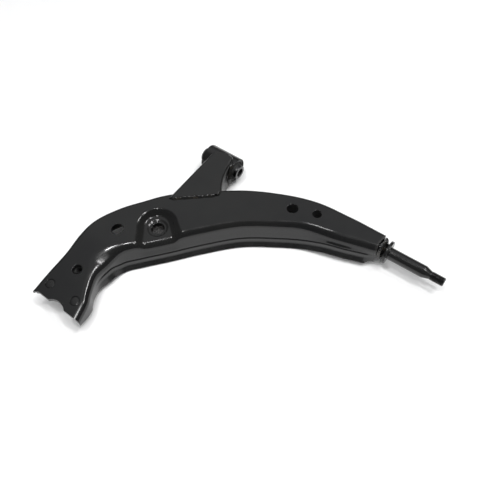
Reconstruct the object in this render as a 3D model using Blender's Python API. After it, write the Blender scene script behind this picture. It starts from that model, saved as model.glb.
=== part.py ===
"""Left front lower control arm of a car, as a welded assembly of pressed steel parts.

A deep upper shell and a shallow lower shell make the curved box-section arm. A bracket on its convex side
carries the front pivot bush. A turned stud at the rear end lies on the same pivot axis. The flared foot at
the outboard end takes the ball joint, on two pressed-in studs and one weld nut.

Arm coordinates, in millimetres: X forward from the middle of the front bush, Y outboard from the pivot
axis, Z up from the ground. The empty called control_arm moves them to the middle of the arm's footprint.
"""

import math

import bmesh
import bpy
from mathutils import Vector

MM = 0.001
GAP = 0.3  # between pieces that touch

# Pivot axis, which the front bush and the rear stud share
AXIS_Z = 25.5
FOOTPRINT_MIDDLE = (-153.0, 165.5)

# Pressed sheets
SHEET = 2.8
LOWER_SHEET = 3.0
BEND = 7.0
BODY_TOP = 49.0
STUD_END_TOP = 44.0
STUD_END_LIFT = 8.0
TAPER_FROM_X = -175.0
TAPER_TO_X = -235.0

# The foot plate falls away outboard of its break line
FOOT_BREAK_Y = 236.0
FOOT_SLOPE = 0.077
FOOT_SKIRT = 16.0
FOOT_RISE = 8.5
FOOT_END_Y = 349.3
SCALLOP = (30.0, 367.2, 23.5)  # centre and radius of the shallow cut in the foot's end

# Matching points on the outer faces of the two walls, from the stud end to the foot
BACK_WALL = [
    (-294, -15.4), (-231, -14.8), (-181, -7.8), (-134, 6.7), (-75.4, 35.7), (-15.8, 80.8), (20.9, 112.2),
    (44.6, 143.5), (66.2, 175.7), (81.9, 212.8), (83.6, 246), (79, 281), (77.4, 322), (74.8, 356),
]  # fmt: skip
NEAR_WALL = [
    (-295.2, 17), (-241.8, 31.4), (-191.3, 45.8), (-157.6, 63.6), (-106.9, 98), (-64.5, 142.8), (-33.1, 180.6),
    (-7.3, 210.3), (11, 234.4), (15, 258.3), (14.5, 283), (4.5, 306.1), (-5.4, 323.5), (-14, 353),
]  # fmt: skip
BACK_BENDS = [BEND] * 11 + [6.0, 5.0, 4.0]
NEAR_BENDS = [12.0, 13.5, 12.5, 11.5, 11.0, 12.5, 12.5, 12.0, 13.0, 14.5, 12.5, 11.0, 10.0, 10.0]
WALL_SPREAD = 2.8  # how far the concave wall leans out at its foot
WALL_HEIGHT = 36.0
LIP = [(7.0, 0.0), (1.8, 8.6), (1.8, 14.6), (0.0, 17.0)]  # its flared edge and joggle: (outward, up)
LIP_FOOT = 2.0  # height of the flared edge above the underside
NEAR_RISE = 8.0  # how far that edge climbs before the foot
EDGE_DEPTH = 6.0  # what is left of the convex wall at the foot's end

# Lower shell
LOWER_END = 10.4  # the pair of points where it stops
LOWER_EDGE = 2.6  # how far it reaches under the concave wall
BACK_FLANGE = 7.0
PAN_RISE = 6.0
NOSE = (6.5, 3.5)  # how far the shell runs on past the upper one at the stud, and how far it drops

# Pocket for the stabiliser link, open towards the concave edge
LINK = (-3.3, 168.1)
LINK_OPENS = Vector((-0.697, 0.717))
POCKET_TOP_R = 31.5
POCKET_FLOOR_R = 22.5
POCKET_FAN = 0.3  # widening of its rim towards the open side
POCKET_DEPTH = 9.0
STEP_TOP_R = 16.5
STEP_FLOOR_R = 13.0
STEP_DEPTH = 1.6
LINK_HOLE_R = 10.0
LINK_ACCESS_R = 22.0

# Tooling holes in the top: (x, y, radius)
TOP_HOLES = [(41.0, 207.7, 9.0), (-155.5, 27.2, 8.5), (-191.4, 14.1, 7.0)]

# Ball-joint fasteners and the doubler that holds them
REINFORCEMENT_X = 69.5
WELD_NUT = (43.4, 292.2)
PRESSED_STUDS = {"outer": (61.0, 330.6), "inner": (11.8, 330.3)}
NUT_HOLE_R = 7.2
NUT_THREAD_R = 5.5
NUT_ACROSS_FLATS = 19.0
NUT_HEIGHT = 9.0
HEAD_R = 6.6
HEAD_THICK = 2.2
HEAD_HOLE_R = 7.0
PRESSED_R = 5.0
PRESSED_LENGTH = 21.0

# Front bush
HOUSING_R = 21.0
HOUSING_WALL = 2.4
HOUSING_HALF = 28.8
SLEEVE_WALL = 1.6
OUTER_SLEEVE_HALF = 27.8
CORE_R = 11.7
CORE_BORE_R = 7.2
CORE_HALF = 36.0
RUBBER_HALF = 30.8

# Bracket, an inverted channel from the housing to the arm
BRACKET_TOP = BODY_TOP + GAP + SHEET
BRACKET_BOTTOM = 10.0
BRACKET_LEFT_X = 13.4
BRACKET_BEND = 5.0
BRACKET_RIGHT = [(-23, -6), (-25.6, 10), (-28.7, 24), (-33.4, 38), (-40, 51), (-46.6, 62), (-49.7, 74)]
BRACKET_FRONT = (-9.2, 21.9, 25.0)  # centre and radius of the end that laps the housing
SEAM_LEFT = (13.4, 120.4)
SEAM_RIGHT = (-49.7, 68.0)

# Rear stud
ROOT_R = 12.0
ROOT_FROM, ROOT_TO = -254.0, -300.8
ROOT_WELD_FROM, ROOT_WELD_TO = -295.9, -301.5
ROOT_WELD_WIDE, ROOT_WELD_UP, ROOT_WELD_DOWN = 15.4, 18.0, 13.9  # reach from the pivot axis
SHAFT_R = 9.4
THREAD_R = 7.0
SHAFT_TO = -365.5
THREAD_FROM = -375.5
STUD_TIP = -397.0
WASHER_R = 18.0
WASHER_FROM, WASHER_TO = -305.0, -309.6

PAINT = (0.012, 0.012, 0.013, 1.0)
BEAD_PAINT = (0.016, 0.016, 0.017, 1.0)
RUBBER = (0.02, 0.02, 0.02, 1.0)
STEEL = (0.10, 0.10, 0.105, 1.0)


# ---------------------------------------------------------------- helpers


def ramp(value, start, end):
    """0 before start, 1 after end, smooth between."""
    share = min(max((value - start) / (end - start), 0.0), 1.0)
    return share * share * (3 - 2 * share)


def along(points, t):
    """Catmull-Rom curve through the points, at t counted in points."""
    last = len(points) - 1
    first = min(max(int(math.floor(t)), 0), last - 1)
    f = t - first
    a, b, c, d = (
        Vector(points[min(max(first + shift, 0), last)][:2]) for shift in (-1, 0, 1, 2)
    )
    if first == 0:
        a = 2 * b - c
    if first == last - 1:
        d = 2 * c - b
    return 0.5 * (
        2 * b + (c - a) * f + (2 * a - 5 * b + 4 * c - d) * f**2 + (3 * b - a - 3 * c + d) * f**3
    )


def outward(points, t, side):
    """Unit normal in plan, away from the arm: side is +1 on the concave wall and -1 on the convex one."""
    step = along(points, t + 0.02) - along(points, t - 0.02)
    return side * Vector((-step.y, step.x)).normalized()


def paint(obj, name, colour, roughness, metallic=0.0):
    material = bpy.data.materials.get(name) or bpy.data.materials.new(name)
    material.use_nodes = True
    shader = material.node_tree.nodes["Principled BSDF"]
    shader.inputs["Base Color"].default_value = colour
    shader.inputs["Roughness"].default_value = roughness
    shader.inputs["Metallic"].default_value = metallic
    obj.data.materials.append(material)


def mesh_object(name, points, faces, origin=(0.0, 0.0, 0.0), smooth=40):
    """One object from points in millimetres, with its own origin, faces turned outward."""
    middle = Vector(origin)
    mesh = bpy.data.meshes.new(name)
    mesh.from_pydata([(Vector(p) - middle) * MM for p in points], [], faces)
    bm = bmesh.new()
    bm.from_mesh(mesh)
    bmesh.ops.recalc_face_normals(bm, faces=bm.faces)
    bm.to_mesh(mesh)
    bm.free()
    mesh.shade_smooth()
    mesh.set_sharp_from_angle(angle=math.radians(smooth))
    obj = bpy.data.objects.new(name, mesh)
    obj.location = middle * MM
    bpy.context.scene.collection.objects.link(obj)
    obj.parent = ROOT
    return obj


def grid_faces(rows, columns, closed=False):
    """Quads of a grid stored row by row."""
    wrap = columns if closed else columns - 1
    return [
        (
            r * columns + c,
            r * columns + (c + 1) % columns,
            (r + 1) * columns + (c + 1) % columns,
            (r + 1) * columns + c,
        )
        for r in range(rows - 1)
        for c in range(wrap)
    ]


def solidify(obj, thickness):
    """Thickness added behind the surface, on the side that its normals leave."""
    modifier = obj.modifiers.new("thickness", "SOLIDIFY")
    modifier.thickness = thickness * MM
    modifier.offset = -1.0
    modifier.use_even_offset = True
    modifier.use_quality_normals = True


def cut(obj, cutter, operation="DIFFERENCE"):
    modifier = obj.modifiers.new(f"cut_{cutter.name}", "BOOLEAN")
    modifier.operation = operation
    modifier.object = cutter
    modifier.solver = "EXACT"


def as_cutter(obj):
    obj.hide_render = True
    obj.display_type = "WIRE"
    return obj


def lathe(name, profile, origin, axis="X", segments=32, smooth=35):
    """A turned piece: profile lists (distance along the axis, radius) and closes, or ends at radius 0."""
    ring = [2 * math.pi * k / segments for k in range(segments)]
    points = []
    faces = []
    starts = []
    for offset, radius in profile:
        starts.append(len(points))
        angles = ring if radius > 0 else [0.0]
        for a in angles:
            across, up = radius * math.cos(a), radius * math.sin(a)
            local = (offset, across, up) if axis == "X" else (across, up, offset)
            points.append(Vector(origin) + Vector(local))
    pairs = list(zip(range(len(profile)), list(range(1, len(profile))) + [0]))
    open_ended = profile[0][1] == 0
    for first, second in pairs[: len(profile) - 1 if open_ended else None]:
        for k in range(segments):
            n = (k + 1) % segments
            a, b = starts[first], starts[second]
            quad = [
                a + (k if profile[first][1] else 0),
                a + (n if profile[first][1] else 0),
                b + (n if profile[second][1] else 0),
                b + (k if profile[second][1] else 0),
            ]
            faces.append(tuple(dict.fromkeys(quad)))
    return mesh_object(name, points, faces, origin, smooth)


def cylinder_cutter(name, centre, radius, low, high, tilt=0.0, segments=40):
    """A round cutter standing on the plan point centre, leaning outboard by tilt."""
    profile = [(low, 0.0), (low, radius), (high, radius), (high, 0.0)]
    x, y = centre[:2]
    z = centre[2] if len(centre) > 2 else 0.0
    obj = lathe(name, profile, (x, y, z), "Z", segments)
    obj.rotation_euler = (tilt, 0.0, 0.0)
    return as_cutter(obj)


def prism(name, outline, low, high):
    """A solid standing on a plan outline."""
    count = len(outline)
    points = [(p[0], p[1], z) for z in (low, high) for p in outline]
    faces = [tuple(range(count)), tuple(range(count, 2 * count))]
    faces += [(k, (k + 1) % count, count + (k + 1) % count, count + k) for k in range(count)]
    return mesh_object(name, points, faces)


def sweep(name, sections, origin=(0.0, 0.0, 0.0), smooth=50):
    """A solid through closed cross-sections of equal length, capped at both ends."""
    count = len(sections[0])
    points = [p for section in sections for p in section]
    faces = grid_faces(len(sections), count, closed=True)
    last = (len(sections) - 1) * count
    faces += [tuple(range(count)), tuple(range(last, last + count))]
    return mesh_object(name, points, faces, origin, smooth)


# ---------------------------------------------------------------- surfaces of the arm


def pocket(x, y):
    """Depth of the link pocket, with the shallow step round its hole."""
    across = Vector((x - LINK[0], y - LINK[1]))
    forward = across.dot(LINK_OPENS)
    sideways = across.dot(Vector((LINK_OPENS.y, -LINK_OPENS.x)))
    reach = abs(sideways) if forward > 0 else across.length
    rim = POCKET_TOP_R + POCKET_FAN * max(forward, 0.0)
    depth = POCKET_DEPTH * ramp(-reach, -rim, -POCKET_FLOOR_R)
    return depth + STEP_DEPTH * ramp(-across.length, -STEP_TOP_R, -STEP_FLOOR_R)


def lift(x):
    """Height of the arm's underside, which rises towards the stud."""
    return STUD_END_LIFT * ramp(-x, -TAPER_FROM_X, -TAPER_TO_X)


def plate_height(x, y):
    """The top face without its pocket."""
    top = BODY_TOP - (BODY_TOP - STUD_END_TOP) * ramp(-x, -TAPER_FROM_X, -TAPER_TO_X)
    past = y - FOOT_BREAK_Y
    return top - FOOT_SLOPE * 0.5 * (past + math.hypot(past, 6.0))


def top_height(x, y):
    return plate_height(x, y) - pocket(x, y)


def at_points(values, t):
    """Value at t, straight between the values at the walls' points."""
    first = min(int(t), len(values) - 2)
    return values[first] + (values[first + 1] - values[first]) * (t - first)


def near_rise(y):
    """How far the seam of the concave side has climbed towards the foot."""
    return NEAR_RISE * ramp(y, 238.0, 262.0)


def foot_height(x, y, side):
    """Lower edge of a wall: it rises into the foot, where the convex wall is only a turned edge."""
    if side > 0:
        seam = lift(x) + LIP_FOOT + near_rise(y)
        return seam + (FOOT_SKIRT - seam) * ramp(y, 288.0, 306.0) + FOOT_RISE * ramp(y, 318.0, 356.0)
    seam = lift(x) + LOWER_SHEET + GAP + 0.2
    low = seam + (FOOT_SKIRT - seam) * ramp(y, 284.0, 306.0)
    return low + (plate_height(x, y) - EDGE_DEPTH - low) * ramp(y, 296.0, 338.0)


def wall_spread(t):
    """How far the concave wall leans out at its foot: not at the stud end, nor in the foot."""
    return WALL_SPREAD * ramp(t, 0.0, 1.0) * ramp(-t, -9.0, -7.2)


def lip_share(t):
    """How much of the joggle and flared edge the concave wall has."""
    return ramp(t, 0.1, 0.3) * ramp(-t, -10.5, -9.3)


def arm_section(t, across, grow=0.0, floor=None):
    """One cross-section of the arm's outer surface, from the convex wall over the top to the concave one."""
    sides = []
    for points, side, bends in ((BACK_WALL, -1, BACK_BENDS), (NEAR_WALL, 1, NEAR_BENDS)):
        out = outward(points, t, side)
        radius = at_points(bends, t) + grow
        spread = wall_spread(t) if side > 0 else 0.0
        lean = math.atan(spread / WALL_HEIGHT)
        inner = along(points, t) + out * (grow - radius)
        top = top_height(inner.x, inner.y) + grow
        angles = [lean + (math.pi / 2 - lean) * k / 4 for k in range(5)]
        bend = [(inner + out * radius * math.cos(a), top - radius * (1 - math.sin(a))) for a in angles]
        wall = along(points, t) + out * (grow + spread)
        low = foot_height(wall.x, wall.y, side) if floor is None else floor
        if side > 0 and floor is None:
            shrink = min((bend[0][1] - low) / (LIP[-1][1] + 2.0), 1.0)
            share = lip_share(t)
            column = [(wall + out * reach * share, low + rise * shrink) for reach, rise in LIP]
        else:
            column = [(wall, low)]
        sides.append(([(p.x, p.y, z) for p, z in column + bend], inner))
    (back, start), (near, end) = sides
    middle = []
    for k in range(1, across):
        p = start.lerp(end, k / across)
        middle.append((p.x, p.y, top_height(p.x, p.y) + grow))
    return back + middle + near[::-1]


def stations(start, end):
    """Where the sections stand: closer together beside the pocket."""
    t = start
    found = []
    while t < end - 0.05:
        found.append(t)
        t += 0.13 if 5.3 <= t <= 7.8 else 0.34
    return found + [end]


# ---------------------------------------------------------------- cutters


def foot_end_outline():
    """Plan outline of what is cut off the foot: a straight edge, a shallow scallop and a small ear."""
    scallop = [
        (SCALLOP[0] + SCALLOP[2] * math.cos(a), SCALLOP[1] + SCALLOP[2] * math.sin(a))
        for a in (math.radians(d) for d in range(-50, -131, -10))
    ]
    ear = [(110, FOOT_END_Y + 8), (74, FOOT_END_Y + 4), (66, FOOT_END_Y)]
    return ear + scallop + [(-30, FOOT_END_Y + 0.3), (-30, 400), (110, 400)]


def make_cutters():
    tilt = -math.atan(FOOT_SLOPE)
    cutters = {
        "link": cylinder_cutter("link_hole", LINK, LINK_HOLE_R, 20, 60),
        "foot": as_cutter(prism("foot_end", foot_end_outline(), -5, 70)),
    }
    for number, (x, y, radius) in enumerate(TOP_HOLES):
        cutters[f"top{number}"] = cylinder_cutter(f"top_hole_{number}", (x, y), radius, 30, 60)
    x, y = WELD_NUT
    z = plate_height(x, y)
    cutters["nut"] = cylinder_cutter("nut_hole", (x, y, z), NUT_HOLE_R, -12, 12, tilt)
    for side, (x, y) in PRESSED_STUDS.items():
        z = plate_height(x, y)
        cutters[side] = cylinder_cutter(f"head_hole_{side}", (x, y, z), HEAD_HOLE_R, -6, 12, tilt)
    return cutters


# ---------------------------------------------------------------- shells


def make_upper_shell(cutters):
    across = 13
    sections = [arm_section(t, across) for t in stations(0.0, 13.0)]
    points = [p for section in sections for p in section]
    obj = mesh_object("upper_shell", points, grid_faces(len(sections), len(sections[0])))
    face_up(obj)
    solidify(obj, SHEET)
    for key in ("link", "foot", "top0", "top1", "top2", "nut", "outer", "inner"):
        cut(obj, cutters[key])
    paint(obj, "upper_shell_paint", PAINT, 0.25)
    return obj


def face_up(obj):
    """Turns an open sheet so that its normals point up."""
    bm = bmesh.new()
    bm.from_mesh(obj.data)
    if sum(face.normal.z * face.calc_area() for face in bm.faces) < 0:
        bmesh.ops.reverse_faces(bm, faces=bm.faces)
    bm.to_mesh(obj.data)
    bm.free()


def lower_section(t):
    """Across the lower shell: flange, then a pan pressed up between the walls."""
    out_b, out_n = outward(BACK_WALL, t, -1), outward(NEAR_WALL, t, 1)
    back, near = along(BACK_WALL, t), along(NEAR_WALL, t) + out_n * wall_spread(t)
    reach = -SHEET - GAP + (LOWER_EDGE + SHEET + GAP) * lip_share(t)
    plan = [(back + out_b * BACK_FLANGE, 0.0), (back, 0.0), (back - out_b * 5, 0.0)]
    inner_b, inner_n = back - out_b * 13, near - out_n * 13
    if (near - back).length < 45:
        inner_b, inner_n = back - out_b * 8, near - out_n * 8
    pan = PAN_RISE * ramp(t, 0.9, 2.0) * ramp(-t, -9.8, -9.0)
    rise = near_rise(near.y)
    plan += [(inner_b.lerp(inner_n, k / 4), pan + rise * k / 4) for k in range(5)]
    plan += [(near - out_n * 7, rise), (near - out_n * 5, rise), (near + out_n * reach, rise)]
    return [(p.x, p.y, lift(p.x) + LOWER_SHEET + height) for p, height in plan]


def make_lower_shell():
    sections = [lower_section(t) for t in stations(0.0, LOWER_END)]
    nose = [(x - NOSE[0], y, z - NOSE[1]) for x, y, z in sections[0][2:-2]]
    points = [p for section in sections for p in section]
    faces = grid_faces(len(sections), len(sections[0]))
    first = len(points)
    points += nose
    faces += [(k + 2, k + 3, first + k + 1, first + k) for k in range(len(nose) - 1)]
    obj = mesh_object("lower_shell", points, faces)
    face_up(obj)
    solidify(obj, LOWER_SHEET)
    cut(obj, cylinder_cutter("link_access", LINK, LINK_ACCESS_R, -5, 30))
    for number, (x, y) in enumerate(((-120.0, 45.0), (-230.0, 9.0), (55.0, 225.0))):
        cut(obj, cylinder_cutter(f"drain_{number}", (x, y), 6.0, -5, 30, segments=24))
    paint(obj, "lower_shell_paint", PAINT, 0.28)
    return obj


def make_foot_reinforcement(cutters):
    """The doubler under the foot plate that the ball-joint fasteners are held in."""
    drop = SHEET + GAP
    rows = []
    for y in (277.0, 287.0, 299.0, 311.0, 323.0, 334.0, 352.0):
        left = REINFORCEMENT_X
        right = near_wall_x(y) + NEAR_BENDS[10] + 1.5
        z = plate_height(0, y) - drop
        rows.append([(left + (right - left) * k / 6, y, z) for k in range(7)])
    points = [p for row in rows for p in row]
    obj = mesh_object("foot_reinforcement", points, grid_faces(len(rows), 7))
    face_up(obj)
    solidify(obj, LOWER_SHEET)
    cut(obj, cutters["foot"])
    tilt = -math.atan(FOOT_SLOPE)
    x, y = WELD_NUT
    z = plate_height(x, y)
    cut(obj, cylinder_cutter("nut_clearance", (x, y, z), NUT_HOLE_R, -14, 12, tilt))
    for side, (x, y) in PRESSED_STUDS.items():
        z = plate_height(x, y)
        name = f"shank_hole_{side}"
        cut(obj, cylinder_cutter(name, (x, y, z), PRESSED_R + GAP, -14, 12, tilt, 24))
    paint(obj, "reinforcement_paint", PAINT, 0.35)
    return obj


def near_wall_x(y):
    """X of the concave wall where it passes y in the foot."""
    t = 9.0
    while along(NEAR_WALL, t).y < y and t < 13.0:
        t += 0.02
    return along(NEAR_WALL, t).x


# ---------------------------------------------------------------- ball-joint fasteners


def make_weld_nut():
    """Hexagonal nut under the reinforcement, open through its thread."""
    x, y = WELD_NUT
    z = plate_height(x, y)
    tilt = -math.atan(FOOT_SLOPE)
    top = -(SHEET + LOWER_SHEET + 2 * GAP + 0.1)
    low = top - NUT_HEIGHT
    sides = 24
    half_flat = NUT_ACROSS_FLATS / 2
    points = []
    for height, hexagonal in ((top, True), (top, False), (low, False), (low, True)):
        for k in range(sides):
            angle = 2 * math.pi * k / sides
            from_flat = math.radians((15 * k + 30) % 60 - 30)
            r = half_flat / math.cos(from_flat) if hexagonal else NUT_THREAD_R
            points.append((x + r * math.cos(angle), y + r * math.sin(angle), z + height))
    faces = grid_faces(4, sides, closed=True)
    faces += [(3 * sides + k, 3 * sides + (k + 1) % sides, (k + 1) % sides, k) for k in range(sides)]
    obj = mesh_object("ball_joint_weld_nut", points, faces, (x, y, z))
    obj.rotation_euler = (tilt, 0.0, 0.0)
    paint(obj, "nut_steel", STEEL, 0.4, 0.6)


def make_pressed_stud(side):
    """Headed stud pressed down through the reinforcement, its head sunk in the foot plate."""
    x, y = PRESSED_STUDS[side]
    z = plate_height(x, y)
    under = -SHEET
    top = under + HEAD_THICK
    end = under - PRESSED_LENGTH
    profile = [
        (top, 0.0), (top, HEAD_R - 0.8), (top - 0.8, HEAD_R), (under, HEAD_R), (under, PRESSED_R),
        (end + 1.2, PRESSED_R), (end, PRESSED_R - 1.2), (end, 0.0),
    ]  # fmt: skip
    obj = lathe(f"ball_joint_stud_{side}", profile, (x, y, z), "Z", 24)
    obj.rotation_euler = (-math.atan(FOOT_SLOPE), 0.0, 0.0)
    paint(obj, "stud_paint", PAINT, 0.35)


# ---------------------------------------------------------------- front bush


def ring_profile(inner, outer, half, chamfer=0.6):
    return [
        (-half, inner), (-half, outer - chamfer), (-half + chamfer, outer),
        (half - chamfer, outer), (half, outer - chamfer), (half, inner),
    ]  # fmt: skip


def make_bush():
    centre = (0.0, 0.0, AXIS_Z)
    housing_bore = HOUSING_R - HOUSING_WALL
    sleeve_r = housing_bore - GAP
    sleeve_bore = sleeve_r - SLEEVE_WALL
    rubber_r = sleeve_bore - GAP
    core_gap = CORE_R + GAP

    profile = ring_profile(housing_bore, HOUSING_R, HOUSING_HALF, 1.0)
    housing = lathe("bush_housing", profile, centre, segments=48)
    paint(housing, "housing_paint", PAINT, 0.25)
    profile = ring_profile(sleeve_bore, sleeve_r, OUTER_SLEEVE_HALF)
    sleeve = lathe("bush_outer_sleeve", profile, centre, segments=48)
    paint(sleeve, "outer_sleeve_steel", STEEL, 0.4, 0.6)
    half = RUBBER_HALF
    profile = [
        (-half, core_gap), (-half, core_gap + 1.5), (-half + 5, core_gap + 3.0),
        (-half + 4, rubber_r - 0.6), (-half + 5, rubber_r), (half - 5, rubber_r),
        (half - 4, rubber_r - 0.6), (half - 5, core_gap + 3.0), (half, core_gap + 1.5), (half, core_gap),
    ]  # fmt: skip
    rubber = lathe("bush_rubber", profile, centre, segments=48)
    paint(rubber, "bush_rubber", RUBBER, 0.7)
    profile = ring_profile(CORE_BORE_R, CORE_R, CORE_HALF, 0.8)
    core = lathe("bush_inner_sleeve", profile, centre, segments=48)
    paint(core, "inner_sleeve_steel", STEEL, 0.35, 0.7)


# ---------------------------------------------------------------- bracket


def bracket_right_x(y):
    """Outer face of the bracket's flared wall at y."""
    t = 0.0
    last = len(BRACKET_RIGHT) - 1
    while along(BRACKET_RIGHT, t).y < y and t < last:
        t += 0.02
    return along(BRACKET_RIGHT, t).x


def bracket_block(name, inset, low, high, front, rear, bend):
    """The channel's outside, or its hollow when inset: rounded along its two long top edges."""
    ys = [front + (rear - front) * k / 14 for k in range(15)]
    sections = []
    for y in ys:
        left = BRACKET_LEFT_X - inset
        right = bracket_right_x(y) + inset
        section = [(left, y, low)]
        for k in range(5):
            a = math.radians(22.5 * k)
            section.append((left - bend * (1 - math.cos(a)), y, high - bend * (1 - math.sin(a))))
        for k in range(4, -1, -1):
            a = math.radians(22.5 * k)
            section.append((right + bend * (1 - math.cos(a)), y, high - bend * (1 - math.sin(a))))
        section.append((right, y, low))
        sections.append(section)
    return sweep(name, sections)


def arm_envelope():
    """The arm's outside with clearance, from the ground up, where the bracket meets it."""
    sections = [arm_section(3.4 + 0.23 * k, 6, GAP, -4.0) for k in range(22)]
    return as_cutter(sweep("arm_envelope", sections))


def seam_cutter():
    """What lies beyond the edge of the bracket's lap on the arm."""
    direction = (Vector(SEAM_RIGHT) - Vector(SEAM_LEFT)).normalized()
    beyond = Vector((direction.y, -direction.x))
    if beyond.y < 0:
        beyond = -beyond
    a = Vector(SEAM_LEFT) - direction * 40
    b = Vector(SEAM_RIGHT) + direction * 40
    outline = [a, b, b + beyond * 80, a + beyond * 80]
    return as_cutter(prism("seam_edge", outline, 0, 70))


def front_cutter():
    """What lies past the rounded end that laps the housing."""
    x, y, radius = BRACKET_FRONT
    arc = []
    for degrees in range(-10, -171, -10):
        a = math.radians(degrees)
        arc.append((x + radius * math.cos(a), y + radius * math.sin(a)))
    outline = [(60, y - 4)] + arc + [(-60, y - 4), (-60, -60), (60, -60)]
    return as_cutter(prism("front_edge", outline, 25, 70))


def housing_cutter():
    profile = [(-60, 0.0), (-60, HOUSING_R + GAP), (60, HOUSING_R + GAP), (60, 0.0)]
    return as_cutter(lathe("housing_clearance", profile, (0.0, 0.0, AXIS_Z), "X", 48))


def make_bracket():
    envelope = arm_envelope()
    housing = housing_cutter()
    hollow = as_cutter(
        bracket_block("bracket_hollow", SHEET, -5, BODY_TOP + GAP, -40, 150, BRACKET_BEND - SHEET)
    )
    bracket = bracket_block("bush_bracket", 0.0, BRACKET_BOTTOM, BRACKET_TOP, -5, 128, BRACKET_BEND)
    for cutter in (hollow, envelope, housing, seam_cutter(), front_cutter()):
        cut(bracket, cutter)
    paint(bracket, "bracket_paint", PAINT, 0.25)

    inset = SHEET + 3 * GAP
    ys = [-2 + 112 * k / 12 for k in range(13)]
    left = [(BRACKET_LEFT_X - inset, y) for y in ys]
    right = [(bracket_right_x(y) + inset, y) for y in reversed(ys)]
    plate = prism("bracket_closing_plate", left + right, BRACKET_BOTTOM + 1, BRACKET_BOTTOM + 1 + SHEET)
    for cutter in (envelope, housing):
        cut(plate, cutter)
    paint(plate, "closing_plate_paint", PAINT, 0.3)


# ---------------------------------------------------------------- rear stud


def make_rear_stud():
    profile = [
        (ROOT_FROM, 0.0), (ROOT_FROM, ROOT_R - 1.5), (ROOT_FROM - 1.5, ROOT_R), (ROOT_TO + 2.5, ROOT_R),
        (ROOT_TO, SHAFT_R), (SHAFT_TO, SHAFT_R), (THREAD_FROM, THREAD_R),
        (STUD_TIP + 1.2, THREAD_R), (STUD_TIP, THREAD_R - 1.2), (STUD_TIP, 0.0),
    ]  # fmt: skip
    stud = lathe("rear_stud", profile, (0.0, 0.0, AXIS_Z))
    paint(stud, "rear_stud_paint", PAINT, 0.3)
    bore = SHAFT_R + GAP
    washer_profile = [
        (WASHER_FROM, bore), (WASHER_FROM, WASHER_R - 0.8), (WASHER_FROM - 0.8, WASHER_R),
        (WASHER_TO + 0.8, WASHER_R), (WASHER_TO, WASHER_R - 0.8), (WASHER_TO, bore),
    ]  # fmt: skip
    washer = lathe("stud_stop_washer", washer_profile, (0.0, 0.0, AXIS_Z))
    paint(washer, "washer_paint", PAINT, 0.3)
    leg = 3.0
    start = WASHER_FROM + GAP
    bead = [(start, bore), (start, bore + leg), (start + leg * 0.6, bore + leg * 0.6), (start + leg, bore)]
    collar = lathe("stop_washer_weld", bead, (0.0, 0.0, AXIS_Z), segments=32)
    paint(collar, "bead_paint", BEAD_PAINT, 0.3)


# ---------------------------------------------------------------- weld beads


def fillet(corner, along_first, along_second, leg_first, leg_second, bulge=0.55):
    """Cross-section of a fillet bead in the corner between two faces."""
    first = corner + along_first * leg_first
    second = corner + along_second * leg_second
    crown = corner + (along_first * leg_first + along_second * leg_second) * bulge
    upper = crown.lerp(second, 0.5) + (crown - corner) * 0.1
    lower = crown.lerp(first, 0.5) + (crown - corner) * 0.1
    return [tuple(p) for p in (corner, first, lower, crown, upper, second)]


def back_seam_bead(start, end, leg, steps):
    """The bead that joins the convex wall's foot to the lower shell's flange."""
    sections = []
    up = Vector((0, 0, 1))
    for k in range(steps + 1):
        t = start + (end - start) * k / steps
        out = outward(BACK_WALL, t, -1).to_3d()
        wall = along(BACK_WALL, t).to_3d() + out * GAP
        wall.z = lift(wall.x) + LOWER_SHEET + GAP + 0.1
        size = 0.35 + 0.65 * math.sin(math.pi * min(k, steps - k, 3) / 6)
        sections.append(fillet(wall, out, up, leg * size, leg * size, 0.8))
    obj = sweep("back_seam_weld", sections)
    paint(obj, "bead_paint", BEAD_PAINT, 0.3)


def near_seam_bead(start, end, steps):
    """The bead in the groove underneath, between the lower shell's edge and the flared edge of the upper one."""
    edge = LOWER_EDGE + GAP + 0.15
    groove = [(edge, 0.2), (edge + 1.4, 0.2), (edge + 0.2, 2.4), (edge, 2.4)]
    sections = []
    for k in range(steps + 1):
        t = start + (end - start) * k / steps
        out = outward(NEAR_WALL, t, 1)
        wall = along(NEAR_WALL, t) + out * wall_spread(t)
        spots = [(wall + out * reach, rise) for reach, rise in groove]
        base = lift(wall.x) + near_rise(wall.y)
        sections.append([(p.x, p.y, base + rise) for p, rise in spots])
    obj = sweep("near_seam_weld", sections)
    paint(obj, "bead_paint", BEAD_PAINT, 0.3)


def lap_bead():
    """The bead along the edge of the bracket's lap on top of the arm."""
    left, right = Vector(SEAM_LEFT).to_3d(), Vector(SEAM_RIGHT).to_3d()
    direction = (right - left).normalized()
    out = Vector((-direction.y, direction.x, 0.0))
    if out.y < 0:
        out = -out
    up = Vector((0, 0, 1))
    steps = 12
    sections = []
    for k in range(steps + 1):
        p = left.lerp(right, 0.06 + 0.83 * k / steps) + out * GAP
        p.z = BODY_TOP + GAP
        size = 0.4 + 0.6 * math.sin(math.pi * min(k, steps - k, 2) / 4)
        sections.append(fillet(p, out, up, 3.2 * size, 2.6 * size, 0.6))
    obj = sweep("bracket_lap_weld", sections)
    paint(obj, "bead_paint", BEAD_PAINT, 0.3)


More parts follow.
